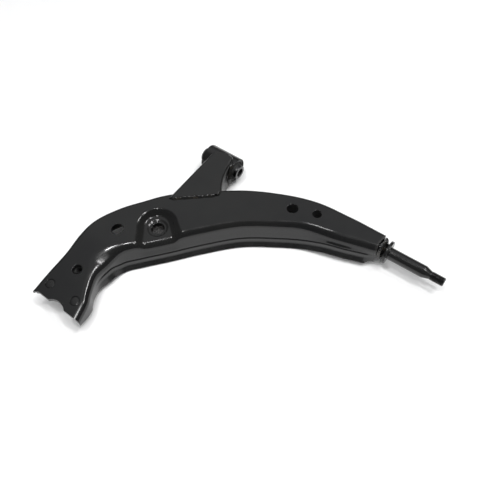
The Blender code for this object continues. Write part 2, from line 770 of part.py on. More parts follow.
def wall_bead(name, x_of, outward_x):
    """A vertical bead between a bracket wall and the convex wall of the arm."""
    t = 3.4
    if outward_x > 0:
        while along(BACK_WALL, t).x < BRACKET_LEFT_X + GAP:
            t += 0.005
    else:
        while along(BACK_WALL, t).x < x_of(along(BACK_WALL, t).y) - GAP:
            t += 0.005
    base = along(BACK_WALL, t)
    out = outward(BACK_WALL, t, -1).to_3d()
    tangent = Vector((outward_x * abs(out.y), 0, 0))
    tangent.y = -tangent.x * out.x / out.y
    tangent.normalize()
    sections = []
    steps = 6
    for k in range(steps + 1):
        z = 14.0 + (BODY_TOP - BEND - 17.0) * k / steps
        size = 0.5 + 0.5 * math.sin(math.pi * min(k, steps - k, 2) / 4)
        corner = base.to_3d() + out * (GAP + 0.1) + tangent * 0.5
        corner.z = z
        sections.append(fillet(corner, tangent, out, 3.4 * size, 3.4 * size, 0.6))
    obj = sweep(name, sections)
    paint(obj, "bead_paint", BEAD_PAINT, 0.3)


def housing_bead(name, wall_x, outward_x, low, high):
    """A bead round part of the housing, against the outer face of a bracket wall."""
    steps = 10
    base = HOUSING_R + GAP
    sections = []
    for k in range(steps + 1):
        a = math.radians(low + (high - low) * k / steps)
        radial = Vector((0, math.cos(a), math.sin(a)))
        size = 0.45 + 0.55 * math.sin(math.pi * min(k, steps - k, 2) / 4)
        p = radial * base
        x = wall_x((base + 3.4) * math.cos(a)) + outward_x * (GAP + 0.2)
        corner = Vector((x, p.y, p.z + AXIS_Z))
        beyond = Vector((outward_x, 0, 0))
        sections.append(fillet(corner, beyond, radial, 3.4 * size, 3.2 * size, 0.6))
    obj = sweep(name, sections)
    paint(obj, "bead_paint", BEAD_PAINT, 0.3)


def crown_bead():
    """The bead along the bracket's rounded end, on top of the housing."""
    cx, cy, radius = BRACKET_FRONT
    sections = []
    steps = 10
    base = HOUSING_R + GAP
    for k in range(steps + 1):
        a = math.radians(-60 - 60 * k / steps)
        out = Vector((math.cos(a), math.sin(a), 0))
        edge = Vector((cx, cy, 0)) + out * (radius + GAP)
        size = 0.45 + 0.55 * math.sin(math.pi * min(k, steps - k, 2) / 4)
        angle = math.acos(min(max(edge.y / base, -1), 1))
        far = edge + out * 3.0 * size
        far_angle = math.acos(min(max(far.y / base, -1), 1))
        corner = Vector((edge.x, edge.y, AXIS_Z + base * math.sin(angle) + 0.1))
        toe = Vector((far.x, far.y, AXIS_Z + base * math.sin(far_angle) + 0.1))
        top = Vector((edge.x, edge.y, max(BRACKET_TOP - 0.8, corner.z + 1.0)))
        top = corner.lerp(top, size)
        crown = toe.lerp(top, 0.5) + Vector((out.x, out.y, 1.0)) * 0.5 * size
        sections.append([tuple(p) for p in (corner, toe, crown, top)])
    obj = sweep("housing_crown_weld", sections)
    paint(obj, "bead_paint", BEAD_PAINT, 0.3)


def plate_bead():
    """The bead between the closing plate's end and the underside of the housing."""
    z = BRACKET_BOTTOM + 1 - GAP
    base = HOUSING_R + GAP
    y = math.sqrt(base**2 - (AXIS_Z - z) ** 2)
    steps = 6
    sections = []
    for k in range(steps + 1):
        x = -16.0 + 23.0 * k / steps
        size = 0.5 + 0.5 * math.sin(math.pi * min(k, steps - k, 2) / 4)
        low = z - 2.6 * size
        toe_y = math.sqrt(base**2 - (AXIS_Z - low) ** 2)
        crown = (x, y + 1.3 * size, z - 1.9 * size)
        sections.append([(x, y, z), (x, y + 2.6 * size, z), crown, (x, toe_y, low)])
    obj = sweep("closing_plate_weld", sections)
    paint(obj, "bead_paint", BEAD_PAINT, 0.3)


def root_weld():
    """The thick weld that closes the end of the arm round the stud's shoulder."""
    count = 32
    base = ROOT_R + GAP
    start, end = ROOT_WELD_FROM, ROOT_WELD_TO
    rings = [(start, 0.0), (start, 1.0), (start - 2.6, 0.86), (end, 0.3), (end, 0.0)]
    sections = []
    for k in range(count):
        a = 2 * math.pi * k / count
        across, up = math.cos(a), math.sin(a)
        tall = ROOT_WELD_UP if up > 0 else ROOT_WELD_DOWN
        reach = 1 / (abs(across / ROOT_WELD_WIDE) ** 3.4 + abs(up / tall) ** 3.4) ** (1 / 3.4)
        section = []
        for x, share in rings:
            radius = base + max(reach - base, 0.9) * share
            section.append((x, radius * across, AXIS_Z + radius * up))
        sections.append(section)
    rows = len(rings)
    points = [p for section in sections for p in section]
    faces = []
    for k in range(count):
        a, b = k * rows, (k + 1) % count * rows
        faces += [(a + r, a + (r + 1) % rows, b + (r + 1) % rows, b + r) for r in range(rows)]
    obj = mesh_object("stud_root_weld", points, faces)
    paint(obj, "bead_paint", BEAD_PAINT, 0.3)


def make_welds():
    back_seam_bead(0.25, 9.5, 3.0, 60)
    near_seam_bead(0.35, 9.3, 60)
    lap_bead()
    wall_bead("bracket_front_weld", None, 1)
    wall_bead("bracket_rear_weld", bracket_right_x, -1)
    housing_bead("housing_front_weld", lambda y: BRACKET_LEFT_X, 1, -48, 60)
    housing_bead("housing_rear_weld", bracket_right_x, -1, -48, 76)
    crown_bead()
    plate_bead()
    root_weld()


# ---------------------------------------------------------------- assembly

for old in list(bpy.data.objects):
    bpy.data.objects.remove(old, do_unlink=True)

ROOT = bpy.data.objects.new("control_arm", None)
ROOT.location = (-FOOTPRINT_MIDDLE[0] * MM, -FOOTPRINT_MIDDLE[1] * MM, 0.0)
bpy.context.scene.collection.objects.link(ROOT)

shared_cutters = make_cutters()
make_upper_shell(shared_cutters)
make_lower_shell()
make_foot_reinforcement(shared_cutters)
make_weld_nut()
for stud_side in PRESSED_STUDS:
    make_pressed_stud(stud_side)
make_bush()
make_bracket()
make_rear_stud()
make_welds()
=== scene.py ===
"""Visual model of a left front lower control arm: welded black pressed steel with its pivot bush and stud.

Arm coordinates, in millimetres, are those of the CAD: X forward from the middle of the front bush, Y outboard
from the pivot axis, Z up from the ground. Every piece is meshed in them, then moved to the row frame.
"""

import math

import bmesh
import bpy
import numpy as np
from mathutils import Matrix, Vector


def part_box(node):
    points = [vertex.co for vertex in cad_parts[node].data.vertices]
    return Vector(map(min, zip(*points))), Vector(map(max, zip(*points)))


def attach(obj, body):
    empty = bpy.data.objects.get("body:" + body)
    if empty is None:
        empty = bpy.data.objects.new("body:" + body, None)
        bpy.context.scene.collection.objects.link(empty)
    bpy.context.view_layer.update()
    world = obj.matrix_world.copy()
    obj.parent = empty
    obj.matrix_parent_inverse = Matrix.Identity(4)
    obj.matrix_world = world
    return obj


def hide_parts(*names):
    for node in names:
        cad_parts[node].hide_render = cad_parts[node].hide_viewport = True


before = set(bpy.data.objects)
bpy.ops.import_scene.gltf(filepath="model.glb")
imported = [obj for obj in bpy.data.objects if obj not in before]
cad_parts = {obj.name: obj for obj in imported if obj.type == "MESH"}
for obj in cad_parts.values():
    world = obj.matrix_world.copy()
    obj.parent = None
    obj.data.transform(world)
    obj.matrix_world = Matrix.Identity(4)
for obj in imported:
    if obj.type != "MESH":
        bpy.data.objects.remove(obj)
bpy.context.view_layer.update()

MM = 0.001
ARM = "arm"
CORE = "bush_core"
BUSH_LOW, BUSH_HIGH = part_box("bush_inner_sleeve")
BUSH_MIDDLE = (BUSH_LOW + BUSH_HIGH) / 2
TO_ROW = np.array([BUSH_MIDDLE.x, BUSH_MIDDLE.y, 0.0])
AXIS_Z = BUSH_MIDDLE.z / MM

GAP = 0.3
SHEET = 2.8
LOWER_SHEET = 3.0
BEND = 7.0
BODY_TOP = 49.0
STUD_END_TOP = 44.0
STUD_END_LIFT = 8.0
TAPER_X = (175.0, 235.0)

# The foot plate falls away outboard of its break line
FOOT_BREAK_Y = 236.0
FOOT_SLOPE = 0.077
FOOT_END_Y = 349.3
FOOT_TILT = -math.atan(FOOT_SLOPE)
FOOT_SKIRT = 16.0
FOOT_NOTCH = 3.0
FOOT_RISE = 11.5
EDGE_DEPTH = 6.0
NEAR_RISE = 8.0
SCALLOP = (30.0, 367.2, 23.5)  # centre and radius of the shallow cut in the foot's end

# Matching points on the outer faces of the two walls, from the stud end to the foot
BACK_WALL = np.array([
    (-294, -15.4), (-231, -14.8), (-181, -7.8), (-134, 6.7), (-75.4, 35.7), (-15.8, 80.8), (20.9, 112.2),
    (44.6, 143.5), (66.2, 175.7), (81.9, 212.8), (83.6, 246), (79, 281), (77.4, 322), (74.8, 356),
])  # fmt: skip
NEAR_WALL = np.array([
    (-295.2, 17), (-241.8, 31.4), (-191.3, 45.8), (-157.6, 63.6), (-106.9, 98), (-64.5, 142.8),
    (-33.1, 180.6), (-7.3, 210.3), (11, 234.4), (15, 258.3), (14.5, 283), (4.5, 306.1), (-5.4, 323.5),
    (-14, 353),
])  # fmt: skip
BACK_BENDS = [BEND] * 11 + [6.0, 5.0, 4.0]
NEAR_BENDS = [12.0, 13.5, 12.5, 11.5, 11.0, 12.5, 12.5, 12.0, 13.0, 14.5, 12.5, 11.0, 10.0, 10.0]
WALL_SPREAD = 2.8
WALL_HEIGHT = 36.0
# The concave wall's flared edge and joggle, from the edge up: (outward, up)
LIP = [
    (7.0, 0.0), (5.7, 2.15), (4.4, 4.3), (3.2, 6.4), (2.25, 7.9), (1.95, 8.6), (1.8, 9.6), (1.8, 13.3),
    (1.75, 14.6), (1.5, 15.4), (0.95, 16.0), (0.35, 16.5), (0.05, 17.0), (0.0, 17.9),
]  # fmt: skip
LIP_FOOT = 2.0
SOFT_RADIUS = 26.0
SOFT_TURN = math.radians(30)

LOWER_END = 10.4
LOWER_EDGE = 2.6
BACK_FLANGE = 7.0
PAN_RISE = 6.0
NOSE = (6.5, 3.5)  # how far the lower shell runs on at the stud, and how far it drops
LINK_ACCESS_R = 22.0
DRAIN_R = 6.0
DRAIN_HOLES = [(-120.0, 45.0), (-230.0, 9.0), (55.0, 225.0)]

# Pocket for the stabiliser link: radii of its rim and floor, both changing beside the hole
LINK = np.array([-3.3, 168.1])
LINK_OPENS = np.array([-0.697, 0.717])
LINK_HOLE_R = 10.0
POCKET_DEPTH = 9.0
POCKET_RIM, RIM_BESIDE = 31.5, 3.0
POCKET_FLOOR, FLOOR_BESIDE = 21.0, 4.5
POCKET_FAN = 0.3
STEP_DEPTH = 1.6
STEP_RIM, STEP_FLOOR = 16.5, 13.0
POCKET_EASE = 0.45

TOP_HOLES = [(41.0, 207.7, 9.0), (-155.5, 27.2, 8.5), (-191.4, 14.1, 7.0)]
DOUBLER_X = 69.5
WELD_NUT = (43.4, 292.2)
NUT_HOLE_R = 7.2
NUT_THREAD_R = 5.5
FOOT_PITCH = 1.25
NUT_HEIGHT = 12.0
NUT_HALF_FLAT = 9.5
NUT_CORNER_R = 12.0
PRESSED_STUDS = {"outer": (61.0, 330.6), "inner": (11.8, 330.3)}
HEAD_R = 6.6
HEAD_HOLE_R = 7.0
HEAD_THICK = 2.2
PRESSED_R = 5.0
PRESSED_LENGTH = 21.0

HOUSING_R = 21.0
HOUSING_WALL = 2.4
HOUSING_HALF = 28.8
SLEEVE_WALL = 1.6
OUTER_SLEEVE_HALF = 27.8
RUBBER_HALF = 30.8
CORE_R = 11.7
CORE_BORE_R = 7.2
CORE_HALF = 36.0

BRACKET_TOP = BODY_TOP + GAP + SHEET
BRACKET_BOTTOM = 10.0
BRACKET_LEFT_X = 13.4
BRACKET_BEND = 5.0
BRACKET_RIGHT = np.array([
    (-23, -6), (-25.6, 10), (-28.7, 24), (-33.4, 38), (-40, 51), (-46.6, 62), (-49.7, 74),
])  # fmt: skip
BRACKET_FRONT = (-9.2, 21.9, 25.0)  # centre and radius of the end that laps the housing
SEAM_LEFT = np.array([13.4, 120.4])
SEAM_RIGHT = np.array([-49.7, 68.0])

ROOT_R = 12.0
SHAFT_R = 9.4
THREAD_R = 7.0
THREAD_PITCH = 1.5
SHOULDER_X = -296.0
TAPER_START_X = -365.0
THREAD_X = (-395.8, -376.6)
STUD_TIP_X = -397.0
NECK_R = 6.0
WASHER_R = 18.0
WASHER_HALF = 2.3
WASHER_X = -307.3


# ---- mesh helpers


def smoothstep(value, start, end):
    share = np.clip((np.asarray(value, float) - start) / (end - start), 0.0, 1.0)
    return share * share * (3 - 2 * share)


def spline(points, t):
    """Catmull-Rom curve through the plan points, for an array of t counted in points."""
    points = np.asarray(points, float)
    padded = np.vstack([2 * points[0] - points[1], points, 2 * points[-1] - points[-2]])
    t = np.asarray(t, float)
    first = np.clip(np.floor(t).astype(int), 0, len(points) - 2)
    f = (t - first)[:, None]
    a, b, c, d = (padded[first + k] for k in range(4))
    return 0.5 * (
        2 * b + (c - a) * f + (2 * a - 5 * b + 4 * c - d) * f**2 + (3 * b - a - 3 * c + d) * f**3
    )


def plan_normal(points, t, side):
    """Unit normals in plan, away from the arm."""
    step = spline(points, np.asarray(t) + 0.02) - spline(points, np.asarray(t) - 0.02)
    normal = side * np.stack([-step[:, 1], step[:, 0]], axis=1)
    return normal / np.linalg.norm(normal, axis=1)[:, None]


def unit(vectors):
    vectors = np.asarray(vectors, float)
    return vectors / np.linalg.norm(vectors, axis=-1, keepdims=True)


def grid_quads(rows, columns, wrap_rows=False, wrap_columns=False):
    r = np.arange(rows if wrap_rows else rows - 1)
    c = np.arange(columns if wrap_columns else columns - 1)
    r, c = (a.ravel() for a in np.meshgrid(r, c, indexing="ij"))
    r1, c1 = (r + 1) % rows, (c + 1) % columns
    return np.stack([r * columns + c, r * columns + c1, r1 * columns + c1, r1 * columns + c], axis=1).tolist()


def put_in_scene(obj):
    bpy.context.scene.collection.objects.link(obj)


def make_object(name, points, faces, smooth=35.0):
    """A mesh object in the row frame from points in arm millimetres."""
    mesh = bpy.data.meshes.new(name)
    places = np.asarray(points, float) * MM + TO_ROW
    mesh.from_pydata(places.tolist(), [], faces)
    bm = bmesh.new()
    bm.from_mesh(mesh)
    bmesh.ops.recalc_face_normals(bm, faces=bm.faces)
    bm.to_mesh(mesh)
    bm.free()
    mesh.shade_smooth()
    mesh.set_sharp_from_angle(angle=math.radians(smooth))
    obj = bpy.data.objects.new(name, mesh)
    put_in_scene(obj)
    return obj


def sheet_object(name, points, faces, thickness):
    """A sheet whose given face is the upper or outer one, thickened behind it."""
    obj = make_object(name, points, faces)
    mesh = obj.data
    lean = sum(face.normal.z * face.area for face in mesh.polygons)
    if lean < 0:
        mesh.flip_normals()
    modifier = obj.modifiers.new("thickness", "SOLIDIFY")
    modifier.thickness = thickness * MM
    modifier.offset = -1.0
    modifier.use_even_offset = True
    modifier.use_quality_normals = True
    return obj


def cut_with(obj, cutters):
    for cutter in cutters:
        modifier = obj.modifiers.new("cut", "BOOLEAN")
        modifier.operation = "DIFFERENCE"
        modifier.object = cutter
        modifier.solver = "EXACT"


def settle(obj, smooth=32.0):
    """Applies the modifiers, cleans the mesh and sets its smoothing."""
    graph = bpy.context.evaluated_depsgraph_get()
    mesh = bpy.data.meshes.new_from_object(obj.evaluated_get(graph))
    obj.modifiers.clear()
    obj.data = mesh
    bm = bmesh.new()
    bm.from_mesh(mesh)
    bmesh.ops.remove_doubles(bm, verts=bm.verts, dist=2e-6)
    bmesh.ops.recalc_face_normals(bm, faces=bm.faces)
    bm.to_mesh(mesh)
    bm.free()
    mesh.shade_smooth()
    mesh.set_sharp_from_angle(angle=math.radians(smooth))
    return obj


def turned(name, profile, origin, axis="X", segments=72, tilt=0.0, shape=None):
    """A turned piece. profile lists (distance along the axis, radius), closed on itself, or ends at radius 0.

    shape, if given, is called with arrays of distance, radius and angle and returns the radius."""
    profile = np.asarray(profile, float)
    angles = 2 * np.pi * np.arange(segments) / segments
    solid_ends = profile[0, 1] == 0
    rings = profile[1:-1] if solid_ends else profile
    reach = np.repeat(rings[:, 1][:, None], segments, axis=1)
    if shape is not None:
        reach = shape(rings[:, 0][:, None] + 0 * reach, reach, angles[None, :] + 0 * reach)
    offset = np.repeat(rings[:, 0][:, None], segments, axis=1)
    across, up = reach * np.cos(angles), reach * np.sin(angles)
    parts = (offset, across, up) if axis == "X" else (across, up, offset)
    points = np.stack(parts, axis=-1).reshape(-1, 3)
    faces = grid_quads(len(rings), segments, wrap_rows=not solid_ends, wrap_columns=True)
    if solid_ends:
        ends = [[profile[0, 0], 0, 0], [profile[-1, 0], 0, 0]]
        if axis != "X":
            ends = [[0, 0, profile[0, 0]], [0, 0, profile[-1, 0]]]
        count = len(points)
        points = np.vstack([points, ends])
        last = (len(rings) - 1) * segments
        for k in range(segments):
            n = (k + 1) % segments
            faces.append([k, n, count])
            faces.append([last + n, last + k, count + 1])
    if tilt:
        turn = np.array(Matrix.Rotation(tilt, 3, "X"))
        points = points @ turn.T
    return make_object(name, points + np.asarray(origin, float), faces)


def cylinder(name, centre, radius, low, high, tilt=0.0, axis="Z", segments=72):
    """A round cutter."""
    profile = [(low, 0), (low, radius), (high, radius), (high, 0)]
    return turned(name, profile, centre, axis, segments, tilt)


def prism(name, outline, low, high):
    outline = np.asarray(outline, float)
    count = len(outline)
    points = np.vstack([np.column_stack([outline, np.full(count, z)]) for z in (low, high)])
    faces = [list(range(count)), list(range(count, 2 * count))]
    faces += [[k, (k + 1) % count, count + (k + 1) % count, count + k] for k in range(count)]
    return make_object(name, points, faces)


def finish_piece(obj, node, body, material):
    obj.data.materials.clear()
    obj.data.materials.append(material)
    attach(obj, body)
    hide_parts(node)
    return obj


def discard(objects):
    for obj in objects:
        bpy.data.objects.remove(obj, do_unlink=True)


# ---- surfaces of the arm


def shoulder(value, start, end):
    """0 to 1 with rounded shoulders and a straight flank, as a drawn pocket has."""
    ease = POCKET_EASE
    u = np.clip((np.asarray(value, float) - start) / (end - start), 0.0, 1.0)
    slope = 1.0 / (1.0 - ease)
    low = slope * u**2 / (2 * ease)
    high = 1 - slope * (1 - u) ** 2 / (2 * ease)
    middle = slope * (u - ease / 2)
    return np.where(u < ease, low, np.where(u > 1 - ease, high, middle))


def pocket(x, y):
    """Depth of the link pocket, open towards the concave edge, with the shallow step round its hole."""
    dx, dy = x - LINK[0], y - LINK[1]
    forward = dx * LINK_OPENS[0] + dy * LINK_OPENS[1]
    sideways = dx * LINK_OPENS[1] - dy * LINK_OPENS[0]
    distance = np.hypot(dx, dy)
    reach = np.where(forward > 0, np.abs(sideways), distance)
    beside = np.abs(sideways) / np.maximum(distance, 1.0)
    rim = POCKET_RIM + RIM_BESIDE * beside**2 + POCKET_FAN * np.maximum(forward, 0.0)
    floor = POCKET_FLOOR - FLOOR_BESIDE * beside**2
    depth = POCKET_DEPTH * shoulder(-reach, -rim, -floor)
    return depth + STEP_DEPTH * shoulder(-distance, -STEP_RIM, -STEP_FLOOR)


def lift(x):
    return STUD_END_LIFT * smoothstep(-x, *TAPER_X)


def plate_height(x, y):
    top = BODY_TOP - (BODY_TOP - STUD_END_TOP) * smoothstep(-x, *TAPER_X)
    past = y - FOOT_BREAK_Y
    return top - FOOT_SLOPE * 0.5 * (past + np.hypot(past, 4.0))


def top_height(x, y):
    return plate_height(x, y) - pocket(x, y)


def near_rise(y):
    """How far the seam of the concave side has climbed towards the foot."""
    return NEAR_RISE * smoothstep(y, 238.0, 262.0)


def foot_height(x, y, side):
    """Lower edge of a wall: it rises into the foot, where the convex wall is only a turned edge."""
    if side > 0:
        seam = lift(x) + LIP_FOOT + near_rise(y)
        low = seam + (FOOT_SKIRT - seam) * smoothstep(y, 288.0, 306.0)
        return low - FOOT_NOTCH * smoothstep(y, 316.5, 319.5) + FOOT_RISE * smoothstep(y, 318.0, 356.0)
    seam = lift(x) + LOWER_SHEET + GAP + 0.2
    low = seam + (FOOT_SKIRT - seam) * smoothstep(y, 284.0, 306.0)
    return low + (plate_height(x, y) - EDGE_DEPTH - low) * smoothstep(y, 296.0, 338.0)


def wall_spread(t):
    """How far the concave wall leans out at its foot: not at the stud end, nor in the foot."""
    return WALL_SPREAD * smoothstep(t, 0.0, 1.0) * smoothstep(-t, -9.0, -7.2)


def soft_bend(t):
    """Extra radius of the upper part of the bend, where the concave edge turns into the foot."""
    return SOFT_RADIUS * smoothstep(t, 7.6, 8.6) * smoothstep(-t, -10.1, -9.2)


def lip_share(t):
    """How much of the joggle and flared edge the concave wall has."""
    return smoothstep(t, 0.1, 0.24) * smoothstep(-t, -10.5, -9.3)


def arm_sections(t, across, grow=0.0, floor=None, arc=11):
    """Cross-sections of the arm's outer surface, from the convex wall's foot over the top to the other's."""
    t = np.asarray(t, float)
    index = np.arange(len(NEAR_BENDS))
    sides = []
    for points, side, bends in ((BACK_WALL, -1, BACK_BENDS), (NEAR_WALL, 1, NEAR_BENDS)):
        out = plan_normal(points, t, side)
        radius = (np.interp(t, index, bends) + grow)[:, None]
        wide = radius + (soft_bend(t) if side > 0 else 0 * t)[:, None]
        spread = (wall_spread(t) if side > 0 else 0 * t)[:, None]
        lean = np.arctan(spread / WALL_HEIGHT)
        line = spline(points, t)
        inner = line + out * (grow - radius - (wide - radius) * math.sin(SOFT_TURN))
        top = (top_height(inner[:, 0], inner[:, 1]) + grow)[:, None]
        turn = (np.pi / 2 - lean) * np.linspace(1, 0, arc)[None, :]
        first = np.minimum(turn, SOFT_TURN)
        reach = (wide - radius) * np.sin(first) + radius * np.sin(turn)
        bend = inner[:, None, :] + out[:, None, :] * reach[:, :, None]
        rise = top - (wide - radius) * (1 - np.cos(first)) - radius * (1 - np.cos(turn))
        column = np.concatenate([bend, rise[:, :, None]], axis=2)
        wall = line + out * (grow + spread)
        low = (foot_height(wall[:, 0], wall[:, 1], side) if floor is None else 0 * t + floor)[:, None]
        layers = LIP if side > 0 and floor is None else [(0.0, 0.0)]
        shrink = np.minimum((rise[:, :1] - low) / (LIP[-1][1] + 2.0), 1.0)
        share = lip_share(t)[:, None]
        rows = [np.concatenate([wall + out * far * share, low + up * shrink], axis=1) for far, up in layers]
        base = np.stack(rows, axis=1)
        last = base[:, -1:, :]
        shares = np.array([0.12, 0.35, 0.68])[None, :, None]
        fill = last + (column[:, :1, :] - last) * shares
        sides.append((np.concatenate([base, fill, column], axis=1), inner))
    (back, start), (near, end) = sides
    share = (np.arange(1, across) / across)[None, :, None]
    plan = start[:, None, :] + (end - start)[:, None, :] * share
    height = top_height(plan[..., 0], plan[..., 1])[..., None] + grow
    return np.concatenate([back, np.concatenate([plan, height], axis=2), near[:, ::-1]], axis=1)


def stations(start, end, step, close=0.034):
    t = [start]
    while t[-1] < end - step * 0.6:
        t.append(t[-1] + (close if 5.0 <= t[-1] <= 8.0 else step))
    t[-1] = end
    return np.array(t)


# ---- materials


PAINT_IOR = 1.5
WORN_PAINT = (0.05, 0.048, 0.046, 1.0)


def grey(value):
    return (value, value, value, 1.0)


def new_material(name):
    material = bpy.data.materials.new(name)
    material.use_nodes = True
    tree = material.node_tree
    return material, tree, tree.nodes["Principled BSDF"]


def noise(tree, scale, detail=4.0, roughness=0.55, stretch=None):
    """Object-space noise, in cycles per metre."""
    coordinates = tree.nodes.new("ShaderNodeTexCoord")
    texture = tree.nodes.new("ShaderNodeTexNoise")
    texture.inputs["Scale"].default_value = scale
    texture.inputs["Detail"].default_value = detail
    texture.inputs["Roughness"].default_value = roughness
    source = coordinates.outputs["Object"]
    if stretch is not None:
        mapping = tree.nodes.new("ShaderNodeMapping")
        mapping.inputs["Scale"].default_value = stretch
        tree.links.new(source, mapping.inputs["Vector"])
        source = mapping.outputs["Vector"]
    tree.links.new(source, texture.inputs["Vector"])
    return texture.outputs["Fac"]


def set_range(node, numbers):
    for socket, number in zip(("From Min", "From Max", "To Min", "To Max"), numbers):
        node.inputs[socket].default_value = number


def between(tree, value, low_in, high_in, low_out, high_out):
    node = tree.nodes.new("ShaderNodeMapRange")
    node.clamp = True
    set_range(node, (low_in, high_in, low_out, high_out))
    tree.links.new(value, node.inputs["Value"])
    return node.outputs["Result"]


def mixed(tree, share, first, second):
    node = tree.nodes.new("ShaderNodeMix")
    node.data_type = "RGBA"
    tree.links.new(share, node.inputs["Factor"])
    for socket, colour in (("A", first), ("B", second)):
        target = [s for s in node.inputs if s.name == socket and s.type == "RGBA"][0]
        if isinstance(colour, tuple):
            target.default_value = colour
        else:
            tree.links.new(colour, target)
    return [s for s in node.outputs if s.type == "RGBA"][0]


def bumped(tree, shader, layers):
    """Stacks bump layers of (height, strength, distance in metres)."""
    previous = None
    for height, strength, distance in layers:
        node = tree.nodes.new("ShaderNodeBump")
        node.inputs["Strength"].default_value = strength
        node.inputs["Distance"].default_value = distance
        tree.links.new(height, node.inputs["Height"])
        if previous is not None:
            tree.links.new(previous, node.inputs["Normal"])
        previous = node.outputs["Normal"]
    tree.links.new(previous, shader.inputs["Normal"])


def worn_edges(tree, low=0.53, high=0.62):
    """Share of bare-looking edge, from the mesh's convex corners, broken up by noise."""
    geometry = tree.nodes.new("ShaderNodeNewGeometry")
    edge = between(tree, geometry.outputs["Pointiness"], low, high, 0.0, 1.0)
    breakup = between(tree, noise(tree, 260.0, 5.0, 0.65), 0.42, 0.62, 0.0, 1.0)
    product = tree.nodes.new("ShaderNodeMath")
    product.operation = "MULTIPLY"
    tree.links.new(edge, product.inputs[0])
    tree.links.new(breakup, product.inputs[1])
    return product.outputs["Value"]


def paint_material(name, dark, light, rough, peel=0.05, painted_wall_shade=False):
    """Gloss black dip paint: slight mottling, orange peel, fine dust and thin, greyed edges. With
    painted_wall_shade it also carries painted shade on upright faces: their specular level falls as they turn
    upright, so they look darker than the top.
    """
    material, tree, shader = new_material(name)
    cloud = between(tree, noise(tree, 14.0, 3.0), 0.35, 0.65, 0.0, 1.0)
    colour = mixed(tree, cloud, dark, light)
    colour = mixed(tree, worn_edges(tree), colour, WORN_PAINT)
    tree.links.new(colour, shader.inputs["Base Color"])
    patches = noise(tree, 38.0, 5.0, 0.6)
    tree.links.new(between(tree, patches, 0.3, 0.7, rough * 0.8, rough * 1.25), shader.inputs["Roughness"])
    shader.inputs["IOR"].default_value = PAINT_IOR
    # Painted shade: upright faces get a lower specular level (0.12 against 0.5 on the top), so they reflect
    # less and look darker.
    if painted_wall_shade:
        geometry = tree.nodes.new("ShaderNodeNewGeometry")
        split = tree.nodes.new("ShaderNodeSeparateXYZ")
        tree.links.new(geometry.outputs["Normal"], split.inputs["Vector"])
        level = between(tree, split.outputs["Z"], 0.25, 0.85, 0.12, 0.5)
        tree.links.new(level, shader.inputs["Specular IOR Level"])
    bumped(
        tree,
        shader,
        [
            (noise(tree, 120.0, 2.0, 0.5), peel, 0.0006),
            (noise(tree, 900.0, 2.0, 0.5), peel * 1.6, 0.00008),
        ],
    )
    return material


def rubber_material():
    material, tree, shader = new_material("bush_rubber_black")
    speck = between(tree, noise(tree, 420.0, 4.0, 0.6), 0.4, 0.7, 0.0, 1.0)
    colour = mixed(tree, speck, grey(0.012), (0.028, 0.027, 0.026, 1.0))
    tree.links.new(colour, shader.inputs["Base Color"])
    tree.links.new(between(tree, noise(tree, 90.0), 0.3, 0.7, 0.55, 0.8), shader.inputs["Roughness"])
    shader.inputs["IOR"].default_value = PAINT_IOR
    bumped(tree, shader, [(noise(tree, 700.0, 3.0), 0.35, 0.0002)])
    return material


def steel_material(name, dark, light, rough, stretch):
    """Turned steel: fine lines round the axis, with darker stains."""
    material, tree, shader = new_material(name)
    stain = between(tree, noise(tree, 60.0, 4.0), 0.35, 0.65, 0.0, 1.0)
    colour = mixed(tree, stain, dark, light)
    tree.links.new(colour, shader.inputs["Base Color"])
    shader.inputs["Metallic"].default_value = 1.0
    lines = noise(tree, 1.0, 2.0, 0.5, stretch)
    tree.links.new(between(tree, lines, 0.3, 0.7, rough * 0.8, rough * 1.3), shader.inputs["Roughness"])
    bumped(tree, shader, [(lines, 0.25, 0.00006)])
    return material


def weld_material():
    """Paint over a weld bead: rougher, with a faint brown tint where it is thin."""
    material, tree, shader = new_material("painted_weld_bead")
    tint = between(tree, noise(tree, 150.0, 4.0), 0.48, 0.68, 0.0, 1.0)
    colour = mixed(tree, tint, grey(0.006), (0.022, 0.018, 0.012, 1.0))
    tree.links.new(colour, shader.inputs["Base Color"])
    tree.links.new(between(tree, noise(tree, 300.0), 0.3, 0.7, 0.12, 0.3), shader.inputs["Roughness"])
    shader.inputs["IOR"].default_value = PAINT_IOR
    bumped(tree, shader, [(noise(tree, 500.0, 3.0, 0.6), 0.3, 0.0003)])
    return material


BARE_BLACK = (0.0045, 0.0045, 0.0048, 1.0)
ROUND_X = (2500.0, 60.0, 60.0)  # turning marks: dense along the axis
ROUND_Z = (60.0, 60.0, 2000.0)

SHELL_PAINT = paint_material("shell_paint", BARE_BLACK, (0.0075, 0.0075, 0.0072, 1.0), 0.17)
LOWER_PAINT = paint_material("lower_shell_paint", BARE_BLACK, grey(0.008), 0.2)
# The bracket's and the housing's black paint also carry painted shade: their upright faces are darkened by
# turning down their reflection.
BRACKET_PAINT_AND_SHADE = paint_material(
    "bracket_paint", grey(0.0055), (0.009, 0.009, 0.0085, 1.0), 0.22, painted_wall_shade=True
)
HOUSING_PAINT_AND_SHADE = paint_material("housing_paint", grey(0.005), grey(0.008), 0.2, 0.12, painted_wall_shade=True)
STUD_PAINT = paint_material("stud_paint", grey(0.006), grey(0.011), 0.2, 0.08)
HEAD_PAINT = paint_material("stud_head_paint", grey(0.006), grey(0.010), 0.22, 0.1)
WELD_PAINT = weld_material()
RUBBER = rubber_material()
CORE_STEEL = steel_material("core_steel", (0.06, 0.06, 0.062, 1.0), grey(0.13), 0.32, ROUND_X)
SLEEVE_STEEL = steel_material("sleeve_steel", grey(0.05), grey(0.1), 0.36, ROUND_X)
NUT_STEEL = steel_material("nut_steel", grey(0.018), grey(0.04), 0.5, ROUND_Z)


# ---- shells


